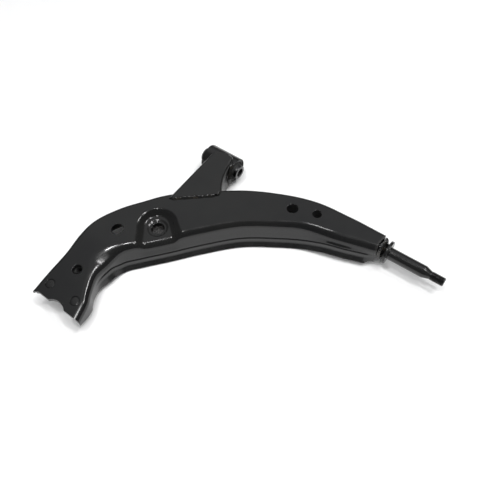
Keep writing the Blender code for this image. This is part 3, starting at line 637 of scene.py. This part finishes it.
def foot_end_outline():
    angles = np.radians(np.arange(-48, -133, -3))
    cx, cy, radius = SCALLOP
    scallop = [(cx + radius * math.cos(a), cy + radius * math.sin(a)) for a in angles]
    ear = [(110, FOOT_END_Y + 8), (74, FOOT_END_Y + 4), (66, FOOT_END_Y)]
    return ear + scallop + [(-30, FOOT_END_Y + 0.3), (-30, 400), (110, 400)]


def hole_cutter(name, x, y, radius, z, tilt=0.0, round_edge=0.7):
    """A punched hole with a small rounded lip at the upper face."""
    profile = [(-25, 0), (-25, radius), (-1.6 * round_edge, radius)]
    for k in range(5):
        angle = math.radians(22.5 * k)
        profile.append((
            -1.0 * round_edge * (1 - math.sin(angle)), radius + round_edge * (1 - math.cos(angle)),
        ))  # fmt: skip
    profile += [(14, radius + round_edge), (14, 0)]
    return turned(name, profile, (x, y, z), "Z", 96, tilt)


def make_upper_shell():
    sections = arm_sections(stations(0.0, 13.0, 0.075), 52)
    rows, columns = sections.shape[:2]
    obj = sheet_object("upper_shell_pressing", sections.reshape(-1, 3), grid_quads(rows, columns), SHEET)
    cutters = [prism("foot_end", foot_end_outline(), -5, 70)]
    cutters.append(hole_cutter("link_hole", *LINK, LINK_HOLE_R, float(top_height(*LINK)), 0.0, 1.0))
    for number, (x, y, radius) in enumerate(TOP_HOLES):
        cutters.append(hole_cutter(f"top_hole_{number}", x, y, radius, float(plate_height(x, y))))
    x, y = WELD_NUT
    cutters.append(hole_cutter("nut_hole", x, y, NUT_HOLE_R, float(plate_height(x, y)), FOOT_TILT, 0.9))
    for side, (x, y) in PRESSED_STUDS.items():
        z = float(plate_height(x, y))
        cutters.append(hole_cutter(f"head_hole_{side}", x, y, HEAD_HOLE_R, z, FOOT_TILT, 0.5))
    cut_with(obj, cutters)
    settle(obj)
    discard(cutters)
    return finish_piece(obj, "upper_shell", ARM, SHELL_PAINT)


def lower_sections(t):
    """Across the lower shell: flange, then a pan pressed up between the walls."""
    out_b, out_n = plan_normal(BACK_WALL, t, -1), plan_normal(NEAR_WALL, t, 1)
    back, near = spline(BACK_WALL, t), spline(NEAR_WALL, t) + out_n * wall_spread(t)[:, None]
    narrow = (np.linalg.norm(near - back, axis=1) < 45)[:, None]
    inset = np.where(narrow, 8.0, 13.0)
    inner_b, inner_n = back - out_b * inset, near - out_n * inset
    reach = (-SHEET - GAP + (LOWER_EDGE + SHEET + GAP) * lip_share(t))[:, None]
    pan = PAN_RISE * smoothstep(t, 0.9, 2.0) * smoothstep(-t, -9.8, -9.0)
    rise = near_rise(near[:, 1])
    columns = [(back + out_b * flange, 0.0, 0.0) for flange in (BACK_FLANGE, BACK_FLANGE / 2, 0.0, -4.0)]
    side_shares = np.linspace(0, 1, 7)[1:]
    foot_b, foot_n = back - out_b * 4, near - out_n * 7
    for share in side_shares:
        columns.append((foot_b + (inner_b - foot_b) * share, float(smoothstep(share, 0, 1)), 0.0))
    for share in np.linspace(0, 1, 17)[1:-1]:
        columns.append((inner_b + (inner_n - inner_b) * share, 1.0, share))
    for share in side_shares[::-1]:
        columns.append((foot_n + (inner_n - foot_n) * share, float(smoothstep(share, 0, 1)), 1.0))
    columns += [(near + out_n * edge, 0.0, 1.0) for edge in (-5, -4, reach)]
    layers = [
        np.column_stack([plan, lift(plan[:, 0]) + LOWER_SHEET + pan * share + rise * near_share])
        for plan, share, near_share in columns
    ]
    return np.stack(layers, axis=1)


def make_lower_shell():
    sections = lower_sections(stations(0.0, LOWER_END, 0.1, 0.1))
    steps = 6
    nose = []
    for angle in np.linspace(np.pi / 2, 0, steps, endpoint=False):
        row = sections[0, 2:-3].copy()
        row[:, 0] -= NOSE[0] * math.sin(angle)
        row[:, 2] -= NOSE[1] * (1 - math.cos(angle))
        nose.append(row)
    rows, count = sections.shape[:2]
    faces = grid_quads(rows, count)
    first, width = rows * count, len(nose[0])
    faces += [[first + corner for corner in face] for face in grid_quads(steps, width)]
    a = first + (steps - 1) * width
    faces += [[a + c, a + c + 1, c + 3, c + 2] for c in range(width - 1)]
    points = np.vstack([sections.reshape(-1, 3), *nose])
    obj = sheet_object("lower_shell_pressing", points, faces, LOWER_SHEET)
    cutters = [cylinder("link_access", (*LINK, 0), LINK_ACCESS_R, -5, 30)]
    for number, (x, y) in enumerate(DRAIN_HOLES):
        cutters.append(cylinder(f"drain_{number}", (x, y, 0), DRAIN_R, -5, 30))
    cut_with(obj, cutters)
    settle(obj)
    discard(cutters)
    return finish_piece(obj, "lower_shell", ARM, LOWER_PAINT)


def near_wall_x(y):
    t = np.arange(9.0, 13.0, 0.01)
    line = spline(NEAR_WALL, t)
    return float(np.interp(y, line[:, 1], line[:, 0]))


def make_reinforcement():
    rows, columns = 26, 20
    layers = []
    for y in np.linspace(277.0, 352.0, rows):
        right = near_wall_x(y) + NEAR_BENDS[10] + 1.5
        x = np.linspace(DOUBLER_X, right, columns)
        layers.append(np.column_stack([x, np.full(columns, y), plate_height(x, y) - SHEET - GAP]))
    obj = sheet_object("foot_doubler", np.concatenate(layers), grid_quads(rows, columns), LOWER_SHEET)
    x, y = WELD_NUT
    cutters = [prism("foot_end", foot_end_outline(), -5, 70)]
    cutters.append(cylinder("nut_clearance", (x, y, plate_height(x, y)), NUT_HOLE_R, -14, 12, FOOT_TILT))
    for side, (x, y) in PRESSED_STUDS.items():
        place = (x, y, plate_height(x, y))
        cutters.append(cylinder(f"shank_{side}", place, PRESSED_R + GAP, -14, 12, FOOT_TILT))
    cut_with(obj, cutters)
    settle(obj)
    discard(cutters)
    return finish_piece(obj, "foot_reinforcement", ARM, LOWER_PAINT)


# ---- threads and fasteners


def helix(pitch, depth, start, end, fade):
    """Radius change of a thread between start and end along the axis, fading out at both ends."""
    low, high = min(start, end), max(start, end)

    def shape(offset, radius, angle):
        phase = ((offset - low) / pitch + angle / (2 * np.pi)) % 1.0
        tooth = np.abs(phase - 0.5) * 2
        tooth = np.clip(tooth * 1.25 - 0.12, 0.0, 1.0)
        inside = smoothstep(offset, low, low + fade) * smoothstep(-offset, -high, -high + fade)
        return radius - depth * tooth * inside

    return shape


def make_weld_nut():
    x, y = WELD_NUT
    top = -(SHEET + LOWER_SHEET + 2 * GAP + 0.1)
    low = top - NUT_HEIGHT
    segments = 96
    angles = 2 * np.pi * np.arange(segments) / segments
    hexagon = NUT_HALF_FLAT / np.cos((angles + np.pi / 6) % (np.pi / 3) - np.pi / 6)
    ends, sides = NUT_HALF_FLAT + 0.1, NUT_CORNER_R
    profile = ((top, ends), (top - 0.8, sides), (low + 0.8, sides), (low, ends))
    rings = [(height, np.minimum(hexagon, reach)) for height, reach in profile]
    thread = helix(FOOT_PITCH, 0.75, low, top, 0.8)
    for height in np.linspace(low, top, 46):
        radius = thread(np.full(segments, height), np.full(segments, NUT_THREAD_R + 0.4), angles)
        rings.append((height, radius))
    points = [
        np.column_stack([r * np.cos(angles), r * np.sin(angles), np.full(segments, h)]) for h, r in rings
    ]
    turn = np.array(Matrix.Rotation(FOOT_TILT, 3, "X"))
    points = np.concatenate(points) @ turn.T + np.array([x, y, float(plate_height(x, y))])
    faces = grid_quads(len(rings), segments, wrap_rows=True, wrap_columns=True)
    obj = make_object("ball_joint_hex_nut", points, faces, 30.0)
    return finish_piece(obj, "ball_joint_weld_nut", ARM, NUT_STEEL)


def make_pressed_stud(side):
    """Headed stud, its slightly crowned head sunk in the foot, the shank threaded below."""
    x, y = PRESSED_STUDS[side]
    under = -SHEET
    top = under + HEAD_THICK
    end = under - PRESSED_LENGTH
    profile = [(top + 0.25, 0.0)]
    for share in np.linspace(0.15, 1.0, 8):
        profile.append((top + 0.25 * (1 - share**2), 5.9 * share))
    profile += [(top - 0.1, 6.3), (top - 0.35, 6.5), (top - 0.6, HEAD_R), (under, HEAD_R), (under, PRESSED_R)]
    profile += [(h, PRESSED_R) for h in np.arange(under - 4.5, end + 1.2, -0.2)]
    profile += [(end + 1.2, 4.9), (end + 0.6, 4.4), (end, 3.8), (end, 0.0)]
    shape = helix(FOOT_PITCH, 0.7, under - 4.5, end, 0.6)

    def shank_only(offset, radius, angle):
        return np.where(offset < under - 4.0, shape(offset, radius, angle), radius)

    height = float(plate_height(x, y))
    obj = turned(f"ball_joint_pressed_stud_{side}", profile, (x, y, height), "Z", 72, FOOT_TILT, shank_only)
    return finish_piece(obj, f"ball_joint_stud_{side}", ARM, HEAD_PAINT)


# ---- front bush


def rounded_ring(inner, outer, half, radius_out, radius_in=0.5, arc=5):
    """Profile of a ring with rounded corners."""
    corners = [
        (-half, inner, radius_in, 1, 1), (-half, outer, radius_out, 1, -1),
        (half, outer, radius_out, -1, -1), (half, inner, radius_in, -1, 1),
    ]  # fmt: skip
    profile = []
    for number, (x, r, size, inward_x, inward_r) in enumerate(corners):
        for angle in np.radians(np.linspace(0, 90, arc)):
            cut_x, cut_r = 1 - math.cos(angle), 1 - math.sin(angle)
            if number in (0, 2):
                cut_x, cut_r = cut_r, cut_x
            profile.append((x + inward_x * size * cut_x, r + inward_r * size * cut_r))
    return profile


def make_bush():
    centre = (0.0, 0.0, AXIS_Z)
    housing_bore = HOUSING_R - HOUSING_WALL
    sleeve_r = housing_bore - GAP
    sleeve_bore = sleeve_r - SLEEVE_WALL
    rubber_r = sleeve_bore - GAP
    core_gap = CORE_R + GAP

    ring = rounded_ring(housing_bore, HOUSING_R, HOUSING_HALF, 1.0)
    housing = turned("front_bush_housing", ring, centre, segments=120)
    finish_piece(housing, "bush_housing", ARM, HOUSING_PAINT_AND_SHADE)
    ring = rounded_ring(sleeve_bore, sleeve_r, OUTER_SLEEVE_HALF, 0.6, 0.4)
    sleeve = turned("front_bush_outer_sleeve", ring, centre, segments=120)
    finish_piece(sleeve, "bush_outer_sleeve", ARM, SLEEVE_STEEL)

    side = []
    for share in np.linspace(0, 1, 15):
        radius = core_gap + (rubber_r - core_gap) * share
        waist = 4.2 * math.sin(math.pi * share) ** 1.4
        lip = 3.6 * smoothstep(share, 0.72, 1.0)
        side.append((RUBBER_HALF - float(waist) - float(lip), radius))
    profile = [(-h, r) for h, r in side] + side[::-1]
    rubber = turned("front_bush_rubber_ring", profile, centre, segments=120)
    finish_piece(rubber, "bush_rubber", ARM, RUBBER)

    ring = rounded_ring(CORE_BORE_R, CORE_R, CORE_HALF, 0.9, 0.6)
    core = turned("front_bush_core_tube", ring, centre, segments=120)
    finish_piece(core, "bush_inner_sleeve", CORE, CORE_STEEL)


# ---- bracket


def bracket_right_x(y):
    t = np.arange(0, len(BRACKET_RIGHT) - 1, 0.01)
    line = spline(BRACKET_RIGHT, t)
    slope = (line[-1] - line[-8]) / (line[-1, 1] - line[-8, 1])
    x = np.interp(y, line[:, 1], line[:, 0])
    return x + np.where(y > line[-1, 1], (y - line[-1, 1]) * slope[0], 0.0)


def bracket_sections(ys):
    """Across the bracket: up its front wall, over the top and down the rear wall."""
    left = np.full(len(ys), BRACKET_LEFT_X)
    right = bracket_right_x(ys)
    feet = (BRACKET_BOTTOM, 22.0, 36.0)
    turn = np.linspace(0, np.pi / 2, 9)
    bend = [(BRACKET_BEND * (1 - math.cos(a)), BRACKET_TOP - BRACKET_BEND * (1 - math.sin(a))) for a in turn]
    width = right - left + 2 * BRACKET_BEND
    columns = [(left, z) for z in feet]
    columns += [(left - inset, z) for inset, z in bend]
    columns += [(left - BRACKET_BEND + width * share, BRACKET_TOP) for share in (0.2, 0.4, 0.6, 0.8)]
    columns += [(right + inset, z) for inset, z in bend[::-1]]
    columns += [(right, z) for z in feet[::-1]]
    return np.stack([np.column_stack([x, ys, np.full(len(ys), z)]) for x, z in columns], axis=1)


def make_bracket():
    ys = np.linspace(-5, 128, 70)
    sections = bracket_sections(ys)
    rows, columns = sections.shape[:2]
    obj = sheet_object("bush_bracket_pressing", sections.reshape(-1, 3), grid_quads(rows, columns), SHEET)
    envelope_sections = arm_sections(np.linspace(3.4, 8.23, 90), 10, GAP, -4.0)
    count = envelope_sections.shape[1]
    faces = grid_quads(len(envelope_sections), count, wrap_columns=True)
    last = (len(envelope_sections) - 1) * count
    faces += [list(range(count)), list(range(last, last + count))]
    envelope = make_object("arm_envelope", envelope_sections.reshape(-1, 3), faces)
    clearance = cylinder("housing_clearance", (0, 0, AXIS_Z), HOUSING_R + GAP, -60, 60, 0.0, "X", 120)
    direction = unit(SEAM_RIGHT - SEAM_LEFT)
    beyond = np.array([direction[1], -direction[0]])
    beyond = -beyond if beyond[1] < 0 else beyond
    a, b = SEAM_LEFT - direction * 40, SEAM_RIGHT + direction * 40
    seam = prism("seam_edge", [a, b, b + beyond * 80, a + beyond * 80], 0, 70)
    cx, cy, radius = BRACKET_FRONT
    angles = np.radians(np.arange(-8, -173, -4))
    arc = [(cx + radius * math.cos(a), cy + radius * math.sin(a)) for a in angles]
    front = prism("front_edge", [(60, cy - 4), *arc, (-60, cy - 4), (-60, -60), (60, -60)], 25, 70)
    cut_with(obj, [envelope, clearance, seam, front])
    settle(obj)
    finish_piece(obj, "bush_bracket", ARM, BRACKET_PAINT_AND_SHADE)

    inset = SHEET + 3 * GAP
    ys = np.linspace(-2, 110, 40)
    left = [(BRACKET_LEFT_X - inset, y) for y in ys]
    right = [(float(bracket_right_x(np.array([y]))[0]) + inset, y) for y in ys[::-1]]
    plate = prism("bracket_bottom_plate", left + right, BRACKET_BOTTOM + 1, BRACKET_BOTTOM + 1 + SHEET)
    cut_with(plate, [envelope, clearance])
    settle(plate)
    finish_piece(plate, "bracket_closing_plate", ARM, LOWER_PAINT)
    discard([envelope, clearance, seam, front])


# ---- rear stud


def make_rear_stud():
    profile = [(-254.0, 0.0), (-254.0, 10.5), (-255.5, ROOT_R), (SHOULDER_X, ROOT_R)]
    for share in np.linspace(0, 1, 8):
        radius = ROOT_R - (ROOT_R - SHAFT_R) * float(smoothstep(share, 0, 1))
        profile.append((SHOULDER_X - 1.0 - 3.8 * share, radius))
    profile += [(x, SHAFT_R) for x in np.arange(-302.0, TAPER_START_X, -4.0)]
    cone_x, cone_r = TAPER_START_X - 1.2, SHAFT_R - 0.15
    profile += [(TAPER_START_X, SHAFT_R), (cone_x, cone_r)]
    for share in (0.25, 0.5, 0.75, 0.97):
        profile.append((cone_x - 9.2 * share, cone_r - (cone_r - 6.2) * share))
    profile += [(-375.8, NECK_R + 0.05), (-376.4, NECK_R)]
    profile += [(x, THREAD_R) for x in np.arange(-377.0, -395.6, -0.15)]
    profile += [(THREAD_X[0], 6.6), (-396.4, 6.1), (STUD_TIP_X, 5.4)]
    profile += [(STUD_TIP_X, 2.4), (-395.4, 1.2), (-394.2, 0.0)]  # centre drilled in the end
    thread = helix(THREAD_PITCH, 0.92, *THREAD_X, 0.9)

    def shape(offset, radius, angle):
        threaded = (offset > THREAD_X[0]) & (offset < THREAD_X[1])
        return np.where(threaded, thread(offset, radius, angle), radius)

    obj = turned("rear_pivot_stud", profile, (0, 0, AXIS_Z), "X", 72, 0.0, shape)
    finish_piece(obj, "rear_stud", ARM, STUD_PAINT)

    ring = rounded_ring(SHAFT_R + GAP, WASHER_R, WASHER_HALF, 0.9, 0.3)
    washer = turned("stud_stop_collar", ring, (WASHER_X, 0, AXIS_Z), "X", 96)
    finish_piece(washer, "stud_stop_washer", ARM, STUD_PAINT)


# ---- weld beads


RIPPLE = 2.3
WASHER_BEAD_X = -304.7
ROOT_BEAD_X, ROOT_BEAD_LENGTH = -295.9, 5.6
ROOT_BEAD_HALF_WIDTH, ROOT_BEAD_TOP, ROOT_BEAD_BOTTOM = 15.4, 18.0, 13.9
ROOT_BEAD_SQUARE = 3.4  # power of the rounded rectangle it fills


def resample(path, step):
    """Indices as fractions along a polyline, one every step millimetres, with the distance at each."""
    path = np.asarray(path, float)
    lengths = np.concatenate([[0], np.cumsum(np.linalg.norm(np.diff(path, axis=0), axis=1))])
    count = max(int(lengths[-1] / step), 8)
    distance = np.linspace(0, lengths[-1], count)
    return np.interp(distance, lengths, np.arange(len(path))), distance


def at(values, where):
    values = np.asarray(values, float)
    index = np.arange(len(values))
    return np.stack([np.interp(where, index, values[:, k]) for k in range(values.shape[1])], axis=1)


def bead(name, node, corner, first, second, leg_first, leg_second, closed=False, seed=0.0, full=1.35):
    """A weld bead in the corner between two faces, with overlapping ripples and slightly uneven width."""
    where, distance = resample(corner, 0.55)
    corner, first, second = at(corner, where), unit(at(first, where)), unit(at(second, where))
    if closed:
        corner, first, second, distance = corner[:-1], first[:-1], second[:-1], distance[:-1]
    ripple = RIPPLE
    wander = 1 + 0.07 * np.sin(distance * 0.31 + seed) + 0.05 * np.sin(distance * 0.93 + 2 * seed)
    if closed:
        end = np.ones(len(distance))
        ripple = distance[-1] / max(round(distance[-1] / ripple), 3)
        wander = 1 + 0.05 * np.sin(distance / distance[-1] * 2 * np.pi * 3 + seed)
    else:
        reach = np.minimum(distance, distance[-1] - distance)
        end = 0.45 + 0.55 * np.sqrt(np.clip(reach / 3.2, 0, 1))
    rings = [corner]
    arc = 9
    for k in range(arc):
        u = k / (arc - 1)
        a, b = math.cos(u * math.pi / 2) ** full, math.sin(u * math.pi / 2) ** full
        bow = 1 - (2 * u - 1) ** 2
        phase = ((distance + 1.5 * bow) / ripple) % 1.0
        scallop = 1 - 0.16 * bow * np.abs(phase - 0.35) * 1.6
        size = (end * wander * scallop)[:, None]
        rings.append(corner + first * leg_first * a * size + second * leg_second * b * size)
    points = np.stack(rings, axis=1)
    rows, columns = points.shape[:2]
    faces = grid_quads(rows, columns, wrap_rows=closed, wrap_columns=True)
    if not closed:
        last = (rows - 1) * columns
        faces += [list(range(columns)), list(range(last, last + columns))]
    obj = make_object(name, points.reshape(-1, 3), faces, 60.0)
    return finish_piece(obj, node, ARM, WELD_PAINT)


def around_x(angles):
    return np.column_stack([0 * angles, np.cos(angles), np.sin(angles)])


def seam_beads():
    t = np.linspace(0.25, 9.5, 700)
    out = np.column_stack([plan_normal(BACK_WALL, t, -1), np.zeros(len(t))])
    wall = np.column_stack([spline(BACK_WALL, t), np.zeros(len(t))]) + out * GAP
    wall[:, 2] = lift(wall[:, 0]) + LOWER_SHEET + GAP + 0.1
    up = np.tile([0.0, 0.0, 1.0], (len(t), 1))
    bead("back_seam_bead", "back_seam_weld", wall, out, up, 3.0, 3.0, seed=1.7, full=1.2)

    # In the groove underneath, between the lower shell's edge and the flared edge
    t = np.linspace(0.35, 9.3, 700)
    out = plan_normal(NEAR_WALL, t, 1)
    edge = spline(NEAR_WALL, t) + out * (wall_spread(t)[:, None] + LOWER_EDGE + GAP)
    corner = np.column_stack([edge, lift(edge[:, 0]) + near_rise(edge[:, 1]) + 2.3])
    first = np.column_stack([out, np.full(len(t), -1.25)])
    down = np.tile([0.0, 0.0, -1.0], (len(t), 1))
    bead("near_seam_bead", "near_seam_weld", corner, first, down, 2.1, 2.1, seed=0.4)


def bracket_beads():
    # Along the lap on the arm
    direction = unit(SEAM_RIGHT - SEAM_LEFT)
    out = np.array([-direction[1], direction[0]])
    out = -out if out[1] < 0 else out
    share = np.linspace(0.06, 0.89, 60)[:, None]
    line = SEAM_LEFT + (SEAM_RIGHT - SEAM_LEFT) * share + out * GAP
    corner = np.column_stack([line, np.full(60, BODY_TOP + GAP)])
    first, up = np.tile([*out, 0.0], (60, 1)), np.tile([0.0, 0.0, 1.0], (60, 1))
    bead("bracket_lap_bead", "bracket_lap_weld", corner, first, up, 3.2, 2.6, seed=0.9)

    # Upright, where the bracket's walls meet the convex wall
    t = np.arange(3.4, 8.0, 0.002)
    wall = spline(BACK_WALL, t)
    right = bracket_right_x(wall[:, 1])
    front_t = t[np.argmax(wall[:, 0] >= BRACKET_LEFT_X + GAP)]
    rear_t = t[np.argmax(wall[:, 0] >= right - GAP)]
    for name, node, at_t, sign in (
        ("bracket_front_bead", "bracket_front_weld", front_t, 1),
        ("bracket_rear_bead", "bracket_rear_weld", rear_t, -1),
    ):
        base = spline(BACK_WALL, [at_t])[0]
        out = plan_normal(BACK_WALL, [at_t], -1)[0]
        tangent = np.array([sign * abs(out[1]), 0.0])
        tangent[1] = -tangent[0] * out[0] / out[1]
        tangent = unit(tangent)
        z = np.linspace(14.0, BODY_TOP - BEND - 3.0, 40)
        plan = base + out * (GAP + 0.1) + tangent * 0.5
        corner = np.column_stack([np.tile(plan, (40, 1)), z])
        first, second = np.tile([*tangent, 0.0], (40, 1)), np.tile([*out, 0.0], (40, 1))
        bead(name, node, corner, first, second, 3.4, 3.4, seed=float(at_t))

    # Round the housing, against the bracket's walls
    base = HOUSING_R + GAP
    for name, node, sign, low, high in (
        ("housing_front_bead", "housing_front_weld", 1, -48, 60),
        ("housing_rear_bead", "housing_rear_weld", -1, -48, 76),
    ):
        a = np.radians(np.linspace(low, high, 60))
        radial = around_x(a)
        y = (base + 3.4) * np.cos(a)
        x = np.full(60, BRACKET_LEFT_X) if sign > 0 else bracket_right_x(y)
        corner = radial * base + np.array([0, 0, AXIS_Z])
        corner[:, 0] = x + sign * (GAP + 0.2)
        beyond = np.tile([float(sign), 0.0, 0.0], (60, 1))
        bead(name, node, corner, beyond, radial, 3.4, 3.2, seed=2.0 + sign)

    # Along the bracket's rounded end, on the crown of the housing
    cx, cy, radius = BRACKET_FRONT
    a = np.radians(np.linspace(-60, -120, 50))
    out = np.column_stack([np.cos(a), np.sin(a)])
    edge = np.array([cx, cy]) + out * (radius + GAP)
    angle = np.arccos(np.clip(edge[:, 1] / base, -1, 1))
    corner = np.column_stack([edge, AXIS_Z + base * np.sin(angle) + 0.1])
    far = edge + out * 3.0
    far_angle = np.arccos(np.clip(far[:, 1] / base, -1, 1))
    toe = np.column_stack([far, AXIS_Z + base * np.sin(far_angle) + 0.1])
    reach = np.maximum(BRACKET_TOP - 0.6 - corner[:, 2], 1.2)
    up = np.column_stack([np.zeros((50, 2)), np.ones(50)])
    first = toe - corner
    leg = float(np.linalg.norm(first, axis=1).mean())
    bead("housing_crown_bead", "housing_crown_weld", corner, first, up, leg, float(reach.mean()), seed=3.1)

    # Under the housing, at the end of the closing plate
    z = BRACKET_BOTTOM + 1 - GAP
    y = math.sqrt(base**2 - (AXIS_Z - z) ** 2)
    x = np.linspace(-16.0, 7.0, 40)
    corner = np.column_stack([x, np.full(40, y + 0.1), np.full(40, z)])
    first = np.tile([0.0, 1.0, 0.0], (40, 1))
    toe_y = math.sqrt(base**2 - (AXIS_Z - z + 2.6) ** 2)
    down = np.tile([0.0, toe_y - y, -2.6], (40, 1))
    bead("closing_plate_bead", "closing_plate_weld", corner, first, down, 2.6, 2.6, seed=0.2)


def stud_beads():
    bore = SHAFT_R + GAP
    a = np.linspace(0, 2 * np.pi, 200)
    radial = around_x(a)
    corner = radial * bore + np.array([WASHER_BEAD_X, 0, AXIS_Z])
    along_axis = np.tile([1.0, 0.0, 0.0], (200, 1))
    bead("stop_collar_bead", "stop_washer_weld", corner, along_axis, radial, 3.0, 3.0, closed=True, seed=1.0)

    # The thick weld that closes the end of the arm round the stud's shoulder
    count = 260
    base = ROOT_R + GAP
    a = 2 * np.pi * np.arange(count) / count
    across, up = np.cos(a), np.sin(a)
    tall = np.where(up > 0, ROOT_BEAD_TOP, ROOT_BEAD_BOTTOM)
    power = ROOT_BEAD_SQUARE
    sides = (np.abs(across) / ROOT_BEAD_HALF_WIDTH) ** power + (np.abs(up) / tall) ** power
    reach = 1 / sides ** (1 / power)
    spread = np.maximum(reach - base, 0.9)
    rings = [(ROOT_BEAD_X, np.full(count, base))]
    ripple = 1 - 0.10 * np.abs(((a * 15 / 2.6) % 1.0) - 0.4) * 2
    for k in range(12):
        u = k / 11
        x = ROOT_BEAD_X - ROOT_BEAD_LENGTH * math.sin(u * math.pi / 2) ** 1.15
        share = math.cos(u * math.pi / 2) ** 0.85
        wave = ripple if 0 < k < 11 else 1.0
        rings.append((x, base + np.maximum(spread * share * wave, 0.3)))
    rings.append((ROOT_BEAD_X - ROOT_BEAD_LENGTH, np.full(count, base)))
    points = [np.column_stack([np.full(count, x), r * across, AXIS_Z + r * up]) for x, r in rings]
    faces = grid_quads(len(rings), count, wrap_rows=True, wrap_columns=True)
    obj = make_object("stud_root_bead", np.concatenate(points), faces, 60.0)
    finish_piece(obj, "stud_root_weld", ARM, WELD_PAINT)


# ---- studio


VIEW_AZIMUTH, VIEW_ELEVATION, VIEW_ROLL = 218.78, 57.0, 3.5
CAMERA_PLACE = Vector((-0.25133, 0.3036, 0.7404))


def view_axes():
    """Right, away and up as the camera sees the ground, for placing lights."""
    az = math.radians(VIEW_AZIMUTH)
    away = Vector((-math.sin(az), math.cos(az), 0.0))
    right = away.cross(Vector((0, 0, 1)))
    return right, away, Vector((0, 0, 1))


def make_camera():
    right, away, up = view_axes()
    el, roll = math.radians(VIEW_ELEVATION), math.radians(VIEW_ROLL)
    forward = away * math.cos(el) - up * math.sin(el)
    top = right.cross(forward)
    across = right * math.cos(roll) - top * math.sin(roll)
    top = right * math.sin(roll) + top * math.cos(roll)
    data = bpy.data.cameras.new("camera")
    data.lens = 42.0
    data.sensor_width = 36.0
    camera = bpy.data.objects.new("camera", data)
    matrix = Matrix((across, top, -forward)).transposed().to_4x4()
    matrix.translation = CAMERA_PLACE
    camera.matrix_world = matrix
    put_in_scene(camera)
    bpy.context.scene.camera = camera


def area_light(name, direction, distance, size, power, long_axis, colour=(1.0, 1.0, 1.0)):
    """A softbox seen from the object's middle in a direction given as right, away, up."""
    right, away, up = view_axes()
    toward = (right * direction[0] + away * direction[1] + up * direction[2]).normalized()
    along_axis = right * long_axis[0] + away * long_axis[1] + up * long_axis[2]
    x = (along_axis - toward * along_axis.dot(toward)).normalized()
    y = toward.cross(x)
    data = bpy.data.lights.new(name, "AREA")
    data.shape = "RECTANGLE"
    data.size, data.size_y = size
    data.energy = power
    data.color = colour
    light = bpy.data.objects.new(name, data)
    matrix = Matrix((x, y, toward)).transposed().to_4x4()
    matrix.translation = toward * distance
    light.matrix_world = matrix
    put_in_scene(light)
    return light


def make_world():
    """A grey studio: lighter behind the object, dark round the camera."""
    world = bpy.data.worlds.new("studio")
    bpy.context.scene.world = world
    world.use_nodes = True
    tree = world.node_tree
    background = tree.nodes["Background"]
    coordinates = tree.nodes.new("ShaderNodeTexCoord")
    right, away, up = view_axes()
    lean = (away * 0.545 + up * 0.839).normalized()
    dot = tree.nodes.new("ShaderNodeVectorMath")
    dot.operation = "DOT_PRODUCT"
    dot.inputs[1].default_value = lean
    tree.links.new(coordinates.outputs["Generated"], dot.inputs[0])
    share = tree.nodes.new("ShaderNodeMapRange")
    share.clamp = True
    share.interpolation_type = "SMOOTHSTEP"
    set_range(share, (0.80, 0.97, 0.16, 0.62))
    tree.links.new(dot.outputs["Value"], share.inputs["Value"])
    tree.links.new(share.outputs["Result"], background.inputs["Strength"])
    background.inputs["Color"].default_value = (0.97, 0.985, 1.0, 1.0)


def make_studio():
    mesh = bpy.data.meshes.new("floor")
    size = 4.0
    corners = [(-size, -size, 0), (size, -size, 0), (size, size, 0), (-size, size, 0)]
    mesh.from_pydata(corners, [], [(0, 1, 2, 3)])
    floor = bpy.data.objects.new("floor", mesh)
    floor.location.z = -0.0002
    put_in_scene(floor)
    material, tree, shader = new_material("pale_floor")
    tone = between(tree, noise(tree, 3.0, 2.0), 0.3, 0.7, 0.0, 1.0)
    colour = mixed(tree, tone, grey(0.86), grey(0.88))
    tree.links.new(colour, shader.inputs["Base Color"])
    shader.inputs["Roughness"].default_value = 0.9
    mesh.materials.append(material)
    make_world()
    area_light("foot_strip", (0.32, -0.06, 0.945), 5.0, (2.35, 0.41), 86.0, (0.70, -0.70, -0.2))
    area_light("right_strip", (0.52, 0.20, 0.83), 5.0, (0.41, 1.2), 52.0, (0.85, 0.0, -0.5))
    area_light("left_lamp", (-0.19, 0.0, 0.98), 1.8, (0.12, 0.12), 6.0, (1.0, 0.0, 0.0))
    fill = area_light("overhead_fill", (-0.1, -0.3, 0.95), 2.2, (2.0, 2.0), 32.0, (1.0, 0.0, 0.0))
    fill.visible_glossy = False
    bpy.context.scene.view_settings.view_transform = "Standard"


# ---- build

make_camera()
make_upper_shell()
make_lower_shell()
make_reinforcement()
make_weld_nut()
for stud_side in PRESSED_STUDS:
    make_pressed_stud(stud_side)
make_bush()
make_bracket()
make_rear_stud()
seam_beads()
bracket_beads()
stud_beads()
make_studio()
